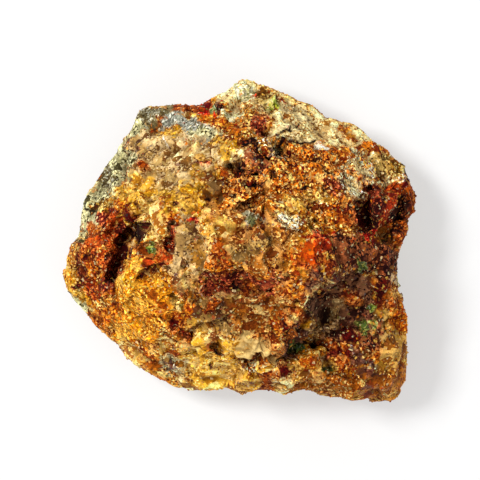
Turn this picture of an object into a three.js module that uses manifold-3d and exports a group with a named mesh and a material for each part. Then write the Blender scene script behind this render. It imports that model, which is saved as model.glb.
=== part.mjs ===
// A lump of weathered vein rock, quartz and rusty iron oxides, with small green plates of zeunerite.
// It lies on a broad flat break, and its richest face looks up. Millimetres, +Z up, origin mid-base.
import * as THREE from "three";
import { mergeVertices } from "three/addons/utils/BufferGeometryUtils.js";
import Module from "manifold-3d";

const wasm = await Module();
wasm.setup();

// Mesh density: rings of the upper face, and rows of the flank below the widest line.
const FACE_RINGS = 27;
const FLANK_ROWS = 4;
// Rings crowd towards the rim, where the face turns steep.
const RING_CROWDING = 1.3;

// The outline seen from above, counterclockwise from the right-hand side.
const OUTLINE = [
  [25.2, 1.8], [25.3, 3.2], [26.4, 4.6], [26.3, 6.8], [25.2, 9], [24.3, 11.4], [23, 12.6], [22, 13.9],
  [19.9, 15], [18.5, 16.3], [17.2, 17.3], [15.4, 17.5], [12.6, 18.5], [11.3, 19.8], [9, 21], [6.2, 22.2],
  [3.6, 23.3], [1.2, 24.3], [-0.7, 23.4], [-2.1, 22.2], [-4.2, 21.4], [-5.4, 20.3], [-8, 20], [-11, 20.2],
  [-13.4, 20.1], [-15, 19.2], [-15.7, 17.9], [-16, 16.7], [-17.4, 15], [-19.1, 12.6], [-20.3, 11.4],
  [-21.9, 8.8], [-23.2, 6.4], [-24, 4], [-24.2, 1.6], [-24.5, 0.2], [-25.5, -1], [-26.1, -3], [-26.4, -5.4],
  [-25.9, -7.6], [-24.9, -9.2], [-23.6, -10.4], [-21.8, -12.6], [-19.2, -15], [-17.7, -16.2], [-17, -17.6],
  [-14.6, -19.2], [-12, -21], [-9.9, -22.2], [-7, -22.7], [-4.6, -22.3], [-2, -22.3], [0.2, -23.4],
  [2.4, -22.6], [4.6, -22.6], [6.8, -23.3], [8.8, -22.5], [10.8, -22.7], [12.2, -23.3], [15, -23.5],
  [17.4, -24.3], [20.6, -24.1], [23, -24.1], [25.1, -21.6], [25.3, -18], [25, -14], [24.9, -11.4],
  [24.2, -9.6], [23.5, -7.6], [23.4, -5.4], [23.7, -3], [24.1, -0.4], [24.9, 0.8],
];

// Around the rim by compass angle: height of the widest line, and how far in the face rounds over.
const RIM = [
  { angle: 0, widest: 10, round: 2.6 },
  { angle: 20, widest: 9, round: 3.2 },
  { angle: 45, widest: 8.5, round: 4.8 },
  { angle: 75, widest: 9.5, round: 5 },
  { angle: 92, widest: 11, round: 5 },
  { angle: 112, widest: 10, round: 3.2 },
  { angle: 130, widest: 8, round: 4 },
  { angle: 150, widest: 6.5, round: 5.2 },
  { angle: 170, widest: 6.5, round: 4.4 },
  { angle: 195, widest: 8, round: 4.2 },
  { angle: 220, widest: 8, round: 4.2 },
  { angle: 245, widest: 8, round: 4.4 },
  { angle: 270, widest: 9, round: 3.8 },
  { angle: 300, widest: 7.5, round: 3.6 },
  { angle: 320, widest: 7, round: 3.6 },
  { angle: 340, widest: 9, round: 3 },
];

// Heights of the upper face at named places, before ledges and hollows: x, y, z.
const HEIGHTS = {
  tanQuartz: [-12, 13, 22.5], greyCap: [-8, 17.5, 19.5], capCorner: [-13.5, 18, 17.5],
  rindTop: [-17.5, 12, 18.5], rindLow: [-20.5, 7.5, 17], ochreShoulder: [-15, 7.5, 23.5],
  ochreCrest: [-10, 6, 26.5], bossFoot: [-4, 8.5, 27], tanCrest: [-5, 14, 25],
  peak: [0, 20.5, 21], rustTop: [1, 15.5, 25], creamTop: [6, 19.5, 21.5],
  rustBand: [8, 13, 25.5], creamMiddle: [14, 15, 20.5], creamEnd: [19, 12, 18.5],
  rustRight: [13, 9, 24.5], rustMiddle: [5, 8, 28], centreTop: [0, 3.5, 29.5],
  centreRight: [7, 2, 29], rustLow: [13, 3, 26], rightHollows: [19, 5, 20.5],
  rightEdge: [23.5, 7, 17], rightNotch: [23.5, 1, 16], leftBrow: [-22.5, 2, 16],
  leftLump: [-22, -3, 19], leftTip: [-24, -7, 14], leftFoot: [-19.5, -9.5, 19],
  yellowFace: [-15, -6, 24.5], yellowFoot: [-14, -11, 22.5], lowerLeft: [-17, -15, 16.5],
  quartzLeft: [-9, -2, 28], quartzCrest: [-2, -1, 30.5], quartzRight: [4, -3, 30.3],
  orangeSpot: [10, -2.5, 29], brink: [10.5, -6, 28.5], shelfTop: [0, -7, 28],
  shelfBrink: [8, -9, 27.5], shelfLeft: [-6, -9, 25.8], shelf: [0, -11, 25],
  shelfRight: [5, -12, 25], grooveFoot: [-9, -14, 21.5], paleBand: [-2, -15, 22.5],
  greyKnob: [-10, -19, 17.5], yellowPlate: [-4, -20, 18.5], palePlate: [2, -17, 21.5],
  plateFoot: [1, -21, 18], redBlock: [7, -20, 17.5], orangeFoot: [12, -19, 18],
  southEast: [18, -20, 16.5], corner: [23, -20.5, 14], eastLow: [22, -14, 17],
  eastMiddle: [22, -9, 18], bowl: [15, -9, 22], bowlTop: [17, -1.5, 23.5],
  eastBrow: [21, -3, 20],
};
// How far a place's height reaches when slopes are worked out, and how softly flat facets meet.
const SLOPE_REACH = 2.9;
const FACET_BLEND = 1.5;
const STEEPEST = 1.3;

// Hollows cut into the upper face along a path. left and right are how far each side reaches from the
// path, floor is the flat share of that reach, and fade tapers the depth towards both ends.
const HOLLOWS = [
  {
    name: "vug", depth: 7, left: 1.3, right: 1.25, floor: 0.5,
    path: [[-15.3, 2.9], [-15.4, 1.2], [-17.4, -0.4], [-18.2, -3], [-18.9, -5.6]],
  },
  {
    name: "vug west wall", depth: 1.9, left: 1.9, right: 1.5, floor: 0.2,
    path: [[-18.2, 2.4], [-18.8, 0]],
  },
  {
    name: "vug foot", depth: 2, left: 0.9, right: 1.2, floor: 0.2,
    path: [[-18, -7], [-18.4, -9.2]],
  },
  {
    name: "slit", depth: 2.4, left: 0.55, right: 0.75, floor: 0.3,
    path: [[-9.8, 2.2], [-10.1, 1], [-10.2, -1.4]],
  },
  {
    name: "rusty pocket", depth: 1, left: 1.3, right: 1.5, floor: 0.3,
    path: [[-13.8, -1.6], [-11.4, -2.4]],
  },
  {
    name: "rusty pocket foot", depth: 1.2, left: 0.55, right: 0.5, floor: 0.2,
    path: [[-15.2, -5.8], [-12.2, -4.1]],
  },
  {
    name: "red cavity", depth: 2.6, left: 0.9, right: 0.9, floor: 0.3,
    path: [[-5.2, 19.8], [-2.6, 19.6]],
  },
  {
    name: "top crack", depth: 2.2, left: 0.6, right: 0.6, floor: 0.3,
    path: [[6.2, 16.1], [7.4, 16.7], [9.2, 16.7]],
  },
  {
    name: "long crack", depth: 2.2, left: 0.9, right: 0.8, floor: 0.3,
    path: [[5.6, 13.9], [7.6, 14.4], [10.4, 14.3]],
  },
  {
    name: "black pocket", depth: 2.4, left: 0.8, right: 0.8, floor: 0.3,
    path: [[2.4, 12.6], [4.2, 11.9]],
  },
  {
    name: "dark cavern", depth: 3.2, left: 1, right: 1.1, floor: 0.4,
    path: [[-1.6, 10.6], [0.4, 10], [2.7, 9.7]],
  },
  {
    name: "middle crack", depth: 1.8, left: 0.6, right: 0.6, floor: 0.2,
    path: [[1, 7.9], [2.6, 8]],
  },
  {
    name: "low crack", depth: 2, left: 0.7, right: 0.6, floor: 0.2,
    path: [[-0.6, 4.7], [2, 5.2], [4, 6.6], [6, 7]],
  },
  {
    name: "brown pocket", depth: 1.6, left: 0.7, right: 0.7, floor: 0.2,
    path: [[-7, 11.5], [-5.2, 11.6]],
  },
  {
    name: "ring pocket", depth: 2, left: 0.8, right: 0.8, floor: 0.3,
    path: [[13.6, 8.2], [14.3, 7.4]],
  },
  {
    name: "west hollow", depth: 4.2, left: 1.9, right: 1.7, floor: 0.3,
    path: [[19.2, 7.4], [18.4, 4.6], [18.6, 3]],
  },
  {
    name: "east hollow", depth: 4.2, left: 1.7, right: 1.5, floor: 0.25,
    path: [[23.6, 7], [23.6, 4.2], [22, 0.8]],
  },
  {
    name: "quartz crease", depth: 2.7, left: 3.8, right: 0.45, floor: 0, fade: true,
    path: [[-6.5, -7.2], [-3, -7.9], [2.2, -7.9], [5.6, -7.2], [7.5, -7]],
  },
  {
    name: "bowl wall", depth: 5.2, left: 10.5, right: 0.3, floor: 0.22, fade: true,
    path: [
      [14.6, -4], [11.6, -5.7], [10.4, -7.4], [10, -9.8],
      [8.8, -12.6], [6.6, -14], [6, -16.6],
    ],
  },
  {
    name: "bowl trough", depth: 0.8, left: 1.8, right: 1.4, floor: 0.3,
    path: [[12.2, -8.6], [11.4, -11.6]],
  },
  {
    name: "green slot", depth: 1.2, left: 0.8, right: 0.8, floor: 0.3,
    path: [[7.2, -15.8], [10.8, -16.3]],
  },
  {
    name: "maroon hollow", depth: 1.7, left: 1, right: 1, floor: 0.3,
    path: [[13.2, -16.6], [15.2, -17.1]],
  },
  {
    name: "comma hole", depth: 3.6, left: 0.75, right: 0.75, floor: 0.5,
    path: [[-4.1, -16], [-3.2, -16], [-2.8, -16.7]],
  },
  {
    name: "maroon groove", depth: 2.2, left: 0.7, right: 0.8, floor: 0.2,
    path: [[-10.2, -11.6], [-8.6, -13], [-7, -14.2]],
  },
  {
    name: "pin hole", depth: 1.6, left: 0.6, right: 0.6, floor: 0.3,
    path: [[-11.9, -11.4], [-11.7, -11.5]],
  },
  {
    name: "red hollow", depth: 1.4, left: 0.9, right: 0.9, floor: 0.2,
    path: [[-13.6, -16.6], [-10.2, -16]],
  },
  {
    name: "pale plate step", depth: 1.5, left: 0.3, right: 2.6, floor: 0.15, fade: true,
    path: [[0, -17.5], [2.6, -17.6], [4.8, -17], [3.4, -15.5]],
  },
  {
    name: "yellow plate step", depth: 1.6, left: 2.6, right: 0.3, floor: 0.2,
    path: [[0.2, -18.6], [2.2, -20], [2.6, -22.8]],
  },
  { name: "furrow", path: [[-24, -3], [-24, -6.6]], depth: 0.9, left: 0.6, right: 0.6, floor: 0.1 },
  {
    name: "second furrow", depth: 1.1, left: 0.6, right: 0.6, floor: 0.1,
    path: [[-22.6, -3], [-22.7, -7.2]],
  },
];

// Lumps that stand up from the upper face, given in the same way.
const LUMPS = [
  {
    name: "smoky boss", depth: 1.6, left: 2.1, right: 2.1, floor: 0.35,
    path: [[-4.5, 8.9], [-3.4, 8]],
  },
  {
    name: "white crystal", depth: 1.2, left: 0.8, right: 0.8, floor: 0.3,
    path: [[6.2, -4.7], [6.4, -6.3]],
  },
  {
    name: "pale knob", depth: 1.6, left: 1.6, right: 1.5, floor: 0.2,
    path: [[-15.8, -16.4], [-15.2, -17.8]],
  },
  {
    name: "grey knob", depth: 1.5, left: 1.7, right: 1.7, floor: 0.3,
    path: [[-10.8, -18.6], [-9.6, -19.4]],
  },
  {
    name: "cream knob", depth: 1.4, left: 0.9, right: 0.9, floor: 0.2,
    path: [[5.8, -21.4], [7.4, -21.7]],
  },
  {
    name: "glitter knob", depth: 1.8, left: 1.2, right: 1.2, floor: 0.2,
    path: [[10.4, -18], [11.8, -17.2]],
  },
  {
    name: "bowl face", depth: 2, left: 1, right: 1.1, floor: 0.2,
    path: [[14.4, -10.6], [14.8, -12.6]],
  },
  {
    name: "bowl step", depth: 1.8, left: 1, right: 1.2, floor: 0.2,
    path: [[11.6, -13.4], [13.6, -13]],
  },
  {
    name: "east rib", depth: 1.4, left: 0.9, right: 0.9, floor: 0.2,
    path: [[21.4, 9.2], [21, 5], [20.6, 2.6]],
  },
  {
    name: "white quartz", depth: 1, left: 1.2, right: 1.2, floor: 0.2,
    path: [[15.6, 9], [17, 7.6]],
  },
  {
    name: "pale lens", depth: 0.9, left: 0.6, right: 0.6, floor: 0.2,
    path: [[11, 13.3], [12.4, 12.8]],
  },
];

// Broken facets all over, large and small: cell size, how far one stands in or out, and its tilt.
const CHIPS = [
  { cell: 6.2, step: 0.9, tilt: 0.45, seed: 0 },
  { cell: 2.9, step: 0.35, tilt: 0.4, seed: 40 },
];
const RIPPLE = { size: 2.1, height: 0.2 };
// Flat breaks that trim the flanks. Each faces a compass angle, leans up or down from level by so many
// degrees, and touches the widest line without cutting it.
const BREAKS = [
  { compass: 8, lean: 24 }, { compass: 38, lean: 34 }, { compass: 62, lean: 27 },
  { compass: 97, lean: 30 }, { compass: 128, lean: 36 }, { compass: 153, lean: 25 },
  { compass: 187, lean: 30 }, { compass: 222, lean: 27 }, { compass: 256, lean: 31 },
  { compass: 285, lean: 24 }, { compass: 340, lean: 22 }, { compass: 20, lean: -24 },
  { compass: 55, lean: -34 }, { compass: 105, lean: -22 }, { compass: 150, lean: -38 },
  { compass: 200, lean: -28 }, { compass: 240, lean: -35 }, { compass: 290, lean: -20 },
  { compass: 335, lean: -30 },
];
const WARP = { size: 2.2, reach: 0.45 };
// The rim keeps this share of the roughness, so that the outline holds, and regains it further in.
const RIM_CALM = { share: 0.25, reach: 3 };
// The flank leans in below the widest line: share of the radius at the base, and how late the lean begins.
const UNDERCUT = { least: 0.07, more: 0.22, size: 11, power: 1.6 };
// Notches in the outline die out this far in from the rim, as a share of the radius.
const NOTCH_DEPTH = 0.3;

const clamp01 = (t) => Math.min(1, Math.max(0, t));
const ease = (t) => clamp01(t) ** 2 * (3 - 2 * clamp01(t));
const mix = (a, b, t) => a + (b - a) * t;

// A repeatable random number for three whole numbers, from 0 to 1.
function chance(i, j, k) {
  const s = Math.sin(i * 127.1 + j * 311.7 + k * 74.7) * 43758.5453;
  return s - Math.floor(s);
}

// Smooth noise from -1 to 1.
function noise(x, y, z) {
  const [i, j, k] = [Math.floor(x), Math.floor(y), Math.floor(z)];
  const [u, v, w] = [ease(x - i), ease(y - j), ease(z - k)];
  const row = (b, c) => mix(chance(i, j + b, k + c), chance(i + 1, j + b, k + c), u);
  return 2 * mix(mix(row(0, 0), row(1, 0), v), mix(row(0, 1), row(1, 1), v), w) - 1;
}

// A chip's offset at a point: the nearest of the scattered cell centres sets its level and its tilt.
function chip({ cell, step, tilt, seed }, x, y, z) {
  const p = [x / cell, y / cell, z / cell];
  const base = p.map(Math.floor);
  let best = { d: Infinity };
  for (let a = -1; a <= 1; a++)
    for (let b = -1; b <= 1; b++)
      for (let c = -1; c <= 1; c++) {
        const [i, j, k] = [base[0] + a + seed, base[1] + b, base[2] + c];
        const centre = [chance(i, j, k), chance(i + 17, j, k), chance(i, j + 17, k)];
        const off = [a, b, c].map((step, axis) => p[axis] - base[axis] - step - centre[axis]);
        const d = off[0] ** 2 + off[1] ** 2 + off[2] ** 2;
        if (d < best.d) best = { d, i, j, k, off };
      }
  const { i, j, k, off } = best;
  const lean = off.reduce((sum, o, axis) => sum + o * (chance(i, j + 31 * (axis + 1), k + 7) - 0.5), 0);
  return step * (chance(i + 5, j, k + 3) - 0.5) + tilt * cell * lean;
}

// How far the broken surface stands out from the plain form at a point.
function roughness(x, y, z) {
  let sum = RIPPLE.height * noise(x / RIPPLE.size, y / RIPPLE.size, z / RIPPLE.size);
  for (const size of CHIPS) sum += chip(size, x, y, z);
  return sum;
}

// The outline's radius at an angle, where the ray meets the edge between two of its points.
function outlineRadius(angle) {
  const [c, s] = [Math.cos(angle), Math.sin(angle)];
  for (let n = 0; n < OUTLINE.length; n++) {
    const a = OUTLINE[n];
    const b = OUTLINE[(n + 1) % OUTLINE.length];
    const sideA = c * a[1] - s * a[0];
    const sideB = c * b[1] - s * b[0];
    if (sideA <= 0 && sideB > 0 && c * a[0] + s * a[1] > 0) {
      const t = sideA / (sideA - sideB);
      return Math.hypot(mix(a[0], b[0], t), mix(a[1], b[1], t));
    }
  }
  throw new Error("the outline has a gap");
}

// The outline's radius with its notches smoothed away.
function plainRadius(angle) {
  let [sum, weight] = [0, 0];
  for (let n = -6; n <= 6; n++) {
    const w = Math.exp(-((n / 3) ** 2));
    sum += w * outlineRadius(angle + n * 0.06);
    weight += w;
  }
  return sum / weight;
}

// Radius of a point on the face, at a share of the way out.
function faceRadius(angle, share) {
  return share * mix(plainRadius(angle), outlineRadius(angle), ease((share - 1) / NOTCH_DEPTH + 1));
}

// One of the rim's values at an angle.
function rim(angle, key) {
  const degrees = (THREE.MathUtils.radToDeg(angle) + 360) % 360;
  let n = RIM.length - 1;
  while (RIM[n].angle > degrees) n--;
  const next = RIM[(n + 1) % RIM.length];
  const span = (next.angle - RIM[n].angle + 360) % 360;
  return mix(RIM[n][key], next[key], ease((degrees - RIM[n].angle) / span));
}

// Distance from a path, positive on its left, and how far along the path the nearest point is, from 0 to 1.
function along(path, x, y) {
  let best = { d: Infinity, side: 1, at: 0 };
  for (let n = 0; n + 1 < path.length; n++) {
    const [a, b] = [path[n], path[n + 1]];
    const [dx, dy] = [b[0] - a[0], b[1] - a[1]];
    const t = clamp01(((x - a[0]) * dx + (y - a[1]) * dy) / (dx * dx + dy * dy));
    const d = Math.hypot(x - a[0] - t * dx, y - a[1] - t * dy);
    const side = dx * (y - a[1]) - dy * (x - a[0]) > 0 ? 1 : -1;
    if (d < best.d) best = { d, side, at: (n + t) / (path.length - 1) };
  }
  return best;
}

// How deep a hollow, or how high a lump, is at a point.
function relief(form, x, y) {
  const { d, side, at } = along(form.path, x, y);
  const share = d / (side > 0 ? form.left : form.right);
  if (share >= 1) return 0;
  const fade = form.fade ? ease(at / 0.2) * ease((1 - at) / 0.2) : 1;
  return form.depth * fade * (1 - ease((share - form.floor) / (1 - form.floor)));
}

// Height of the smooth ground the flat facets lean with.
function smoothGround(x, y) {
  let [sum, weight] = [0, 0];
  for (const [px, py, pz] of Object.values(HEIGHTS)) {
    const w = Math.exp(-((x - px) ** 2 + (y - py) ** 2) / (2 * SLOPE_REACH ** 2)) + 1e-9;
    sum += w * pz;
    weight += w;
  }
  return sum / weight;
}
const limit = (slope) => Math.min(STEEPEST, Math.max(-STEEPEST, slope));
const PLACES = Object.values(HEIGHTS).map(([x, y, z]) => ({
  x,
  y,
  z,
  dx: limit(smoothGround(x + 0.5, y) - smoothGround(x - 0.5, y)),
  dy: limit(smoothGround(x, y + 0.5) - smoothGround(x, y - 0.5)),
}));

// Height of the ground made of one flat facet around each named place.
function ground(x, y) {
  const reach = PLACES.map((p) => (x - p.x) ** 2 + (y - p.y) ** 2);
  const nearest = Math.min(...reach);
  let [sum, weight] = [0, 0];
  PLACES.forEach((p, n) => {
    const w = Math.exp((nearest - reach[n]) / (2 * FACET_BLEND ** 2));
    sum += w * (p.z + p.dx * (x - p.x) + p.dy * (y - p.y));
    weight += w;
  });
  return sum / weight;
}

// Height of the upper face. share is how far out from the middle to the outline the point is, from 0 to 1.
function faceHeight(x, y, angle, share) {
  const wx = x + WARP.reach * noise(x / WARP.size, y / WARP.size, 3.5);
  const wy = y + WARP.reach * noise(x / WARP.size, y / WARP.size, 8.5);
  let z = ground(x, y);
  for (const form of LUMPS) z += relief(form, wx, wy);
  for (const form of HOLLOWS) z -= relief(form, wx, wy);
  const widest = rim(angle, "widest");
  const inward = clamp01(((1 - share) * plainRadius(angle)) / rim(angle, "round"));
  return widest + Math.max(z - widest, 1) * (1 - (1 - inward) ** 2.2);
}

// Radius of the flank below the widest line. up is 1 at that line and 0 at the base.
function flankRadius(angle, up) {
  const radius = mix(plainRadius(angle), outlineRadius(angle), ease(up * 1.6 - 0.6));
  const [x, y] = [radius * Math.cos(angle), radius * Math.sin(angle)];
  const patch = 0.5 + 0.5 * noise(x / UNDERCUT.size, y / UNDERCUT.size, 1.5);
  const cut = UNDERCUT.least + UNDERCUT.more * patch;
  return radius * (1 - cut * (1 - up) ** UNDERCUT.power);
}

// A point moved back onto every flat break it stands outside.
const rimPoints = Array.from({ length: 180 }, (_, n) => {
  const angle = THREE.MathUtils.degToRad(2 * n);
  const radius = outlineRadius(angle);
  return new THREE.Vector3(radius * Math.cos(angle), radius * Math.sin(angle), rim(angle, "widest"));
});
const breakPlanes = BREAKS.map(({ compass, lean }) => {
  const [a, b] = [THREE.MathUtils.degToRad(compass), THREE.MathUtils.degToRad(lean)];
  const out = new THREE.Vector3(Math.cos(a) * Math.cos(b), Math.sin(a) * Math.cos(b), Math.sin(b));
  return { out, reach: Math.max(...rimPoints.map((p) => p.dot(out))) };
});
function trimmed(x, y, z) {
  const p = new THREE.Vector3(x, y, z);
  const level = z === 0;
  for (const { out, reach } of breakPlanes) {
    const over = p.dot(out) - reach;
    if (over <= 0) continue;
    const back = level ? new THREE.Vector3(out.x, out.y, 0) : out;
    p.addScaledVector(back, -over / back.lengthSq());
  }
  return p.toArray();
}

// A square grid laid over the face in rings, so that its cells stay even: each point's angle and its
// share of the radius.
function ringPoint(i, j, rings) {
  const [a, b] = [(i - rings) / rings, (j - rings) / rings];
  if (a === 0 && b === 0) return { angle: 0, share: 0 };
  const eighth = Math.PI / 4;
  const angle = Math.abs(a) >= Math.abs(b)
    ? eighth * (b / a) + (a < 0 ? Math.PI : 0)
    : 2 * eighth - eighth * (a / b) + (b < 0 ? Math.PI : 0);
  return { angle, share: 1 - (1 - Math.max(Math.abs(a), Math.abs(b))) ** RING_CROWDING };
}

// The whole lump as one closed surface: upper face, flank and flat base.
function rockGeometry() {
  const side = 2 * FACE_RINGS + 1;
  const points = [];
  const calm = [];
  const faces = [];
  const settle = (fromRim) => mix(RIM_CALM.share, 1, ease(fromRim / RIM_CALM.reach));
  for (let j = 0; j < side; j++)
    for (let i = 0; i < side; i++) {
      const { angle, share } = ringPoint(i, j, FACE_RINGS);
      const radius = faceRadius(angle, share);
      const [x, y] = [radius * Math.cos(angle), radius * Math.sin(angle)];
      const z = faceHeight(x, y, angle, share);
      points.push(trimmed(x, y, z));
      calm.push(settle((1 - share) * radius + 0.5 * (z - rim(angle, "widest"))));
    }
  for (let j = 0; j + 1 < side; j++)
    for (let i = 0; i + 1 < side; i++) {
      const a = j * side + i;
      const [b, c, d] = [a + 1, a + side + 1, a + side];
      const rising = i < FACE_RINGS === j < FACE_RINGS;
      if (rising) faces.push([a, b, c], [a, c, d]);
      else faces.push([a, b, d], [b, c, d]);
    }
  const last = side - 1;
  const ring = [];
  for (let i = 0; i < last; i++) ring.push([i, 0]);
  for (let j = 0; j < last; j++) ring.push([last, j]);
  for (let i = last; i > 0; i--) ring.push([i, last]);
  for (let j = last; j > 0; j--) ring.push([0, j]);
  let above = ring.map(([i, j]) => j * side + i);
  for (let row = 1; row <= FLANK_ROWS; row++) {
    const up = 1 - row / FLANK_ROWS;
    const below = ring.map(([i, j]) => {
      const { angle } = ringPoint(i, j, FACE_RINGS);
      const radius = flankRadius(angle, up);
      points.push(trimmed(radius * Math.cos(angle), radius * Math.sin(angle), up * rim(angle, "widest")));
      calm.push(settle((1 - up) * rim(angle, "widest")));
      return points.length - 1;
    });
    above.forEach((a, n) => {
      const m = (n + 1) % above.length;
      faces.push([a, below[n], below[m]], [a, below[m], above[m]]);
    });
    above = below;
  }
  const foot = above.map((n) => new THREE.Vector2(points[n][0], points[n][1]));
  for (const [a, b, c] of THREE.ShapeUtils.triangulateShape(foot, []))
    faces.push([above[c], above[b], above[a]]);
  const plain = new THREE.BufferGeometry()
    .setAttribute("position", new THREE.Float32BufferAttribute(points.flat(), 3))
    .setIndex(faces.flat());
  plain.computeVertexNormals();
  const { position, normal } = plain.attributes;
  points.forEach(([x, y, z], n) => {
    const onFlank = n >= side * side;
    const out = new THREE.Vector3(normal.getX(n), normal.getY(n), onFlank ? 0 : normal.getZ(n));
    const reach = calm[n] * roughness(x, y, z);
    position.setXYZ(n, x + reach * out.x, y + reach * out.y, z + reach * out.z);
  });
  return plain;
}

// Solid from a closed geometry, and geometry from a solid.
function solidOf(geometry) {
  const bare = geometry.clone().deleteAttribute("normal").deleteAttribute("uv");
  const merged = mergeVertices(bare, 1e-4);
  const vertProperties = merged.attributes.position.array;
  const triVerts = new Uint32Array(merged.index.array);
  return new wasm.Manifold(new wasm.Mesh({ numProp: 3, vertProperties, triVerts }));
}
function geometryOf(solid) {
  const mesh = solid.getMesh();
  return new THREE.BufferGeometry()
    .setAttribute("position", new THREE.BufferAttribute(mesh.vertProperties, 3))
    .setIndex(new THREE.BufferAttribute(mesh.triVerts, 1))
    .toNonIndexed();
}

// The largest body of a solid, without the slivers or closed pores that joining and cutting can leave.
function largest(solid) {
  return solid.decompose().sort((a, b) => b.volume() - a.volume())[0];
}

// Zeunerite: square plates that cross in small sprays. Each spray gives its place, the width of its
// largest plate and how many it has.
const SPRAYS = [
  { name: "vug_side", at: [-13, -1.3], plate: 1.5, count: 3 },
  { name: "summit", at: [4.9, 20], plate: 1.6, count: 4 },
  { name: "red_cavity", at: [-3.7, 19.2], plate: 1.3, count: 3 },
  { name: "centre", at: [1.7, 2.8], plate: 1.4, count: 3 },
  { name: "bowl_brow", at: [18, -3.7], plate: 1.5, count: 3 },
  { name: "slot", at: [8.4, -15.9], plate: 1.5, count: 4 },
  { name: "east_wall", at: [18.7, -12.9], plate: 1.5, count: 4 },
  { name: "bowl_edge", at: [19.5, -10], plate: 1.2, count: 3 },
];
const PLATE_THICKNESS = 0.26;
// A spray's foot sits in a seat cut in the rock: how deep the foot goes, and the gap left around it.
const FOOT_DEPTH = 0.35;
const SEAT_GAP = 0.12;
const SEAT_SIDES = 7;

// Where the rock's own surface is, straight up from a place.
function surfaceAt(solid, [x, y]) {
  const needle = solidOf(new THREE.BoxGeometry(0.02, 0.02, 80).translate(x, y, 0));
  return solid.intersect(needle).boundingBox().max[2];
}

// One spray about its own foot, which is at the origin.
function spraySolid(spray, index) {
  let solid = null;
  for (let n = 0; n < spray.count; n++) {
    const size = spray.plate * mix(1, 0.65, n / spray.count);
    const plate = new THREE.BoxGeometry(size, PLATE_THICKNESS, size);
    plate.rotateY((chance(index, n, 1) - 0.5) * 0.7);
    plate.translate(0, 0, size / 2);
    plate.rotateX((chance(index, n, 2) - 0.5) * 0.9);
    plate.rotateZ((n * Math.PI) / spray.count + chance(index, n, 3) * 0.4);
    solid = solid ? solid.add(solidOf(plate)) : solidOf(plate);
  }
  return largest(solid);
}

// The seat for a spray whose foot is at a place: a shallow many-sided pit around it.
function seatSolid(solid, foot) {
  const { min, max } = solid.boundingBox();
  const reach = Math.hypot(max[0] - min[0], max[1] - min[1]) / 2 + SEAT_GAP;
  const depth = 12;
  const pit = new THREE.CylinderGeometry(reach, reach, depth, SEAT_SIDES);
  pit.rotateX(Math.PI / 2);
  pit.translate((min[0] + max[0]) / 2, (min[1] + max[1]) / 2, min[2] - SEAT_GAP + depth / 2);
  pit.translate(foot.x, foot.y, foot.z);
  return solidOf(pit);
}

const specimen = new THREE.Group();

let rock = solidOf(rockGeometry());
const zeunerite = new THREE.MeshStandardMaterial({ color: "#4f8f3a", roughness: 0.25, metalness: 0 });
SPRAYS.forEach((spray, index) => {
  const foot = new THREE.Vector3(...spray.at, surfaceAt(rock, spray.at) - FOOT_DEPTH);
  const solid = spraySolid(spray, index);
  rock = largest(rock.subtract(seatSolid(solid, foot)));
  const mesh = new THREE.Mesh(geometryOf(solid), zeunerite);
  mesh.name = "zeunerite_" + spray.name;
  mesh.position.copy(foot);
  specimen.add(mesh);
});

const matrix = new THREE.Mesh(
  geometryOf(rock),
  new THREE.MeshStandardMaterial({ color: "#a8682a", roughness: 0.9, metalness: 0 }),
);
matrix.name = "matrix";
specimen.add(matrix);

export default specimen;
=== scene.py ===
import math
from itertools import product

import bpy
import numpy as np
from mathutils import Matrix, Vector
from mathutils.bvhtree import BVHTree


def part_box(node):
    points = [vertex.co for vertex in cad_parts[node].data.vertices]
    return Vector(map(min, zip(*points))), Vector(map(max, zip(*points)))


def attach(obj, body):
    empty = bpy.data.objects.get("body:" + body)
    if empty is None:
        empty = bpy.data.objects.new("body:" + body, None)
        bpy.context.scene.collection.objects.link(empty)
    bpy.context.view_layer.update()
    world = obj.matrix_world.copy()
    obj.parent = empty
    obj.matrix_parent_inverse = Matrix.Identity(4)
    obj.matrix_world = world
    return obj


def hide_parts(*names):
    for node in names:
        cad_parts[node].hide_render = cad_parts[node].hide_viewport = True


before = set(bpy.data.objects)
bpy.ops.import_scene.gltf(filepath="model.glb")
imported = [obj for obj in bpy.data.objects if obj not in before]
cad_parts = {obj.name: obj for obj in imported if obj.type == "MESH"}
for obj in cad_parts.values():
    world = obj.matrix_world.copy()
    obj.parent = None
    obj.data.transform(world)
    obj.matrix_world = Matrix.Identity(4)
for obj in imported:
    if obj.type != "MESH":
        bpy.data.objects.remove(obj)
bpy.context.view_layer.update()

MM = 0.001
FACE_RINGS = 136
FLANK_ROWS = 16
RING_CROWDING = 1.12
# The base's rings as shares of its edge, and what its points say for their way from the rim and depth below it.
BASE_INSETS = (0.97, 0.9, 0.72, 0.4)
BASE_RIM_WAY, BASE_DEPTH = 9.0, 20.0
# The attributes in which a piece carries its tones and finish to the material.
LAYERS = ("main", "dark", "pale", "finish")

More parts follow.
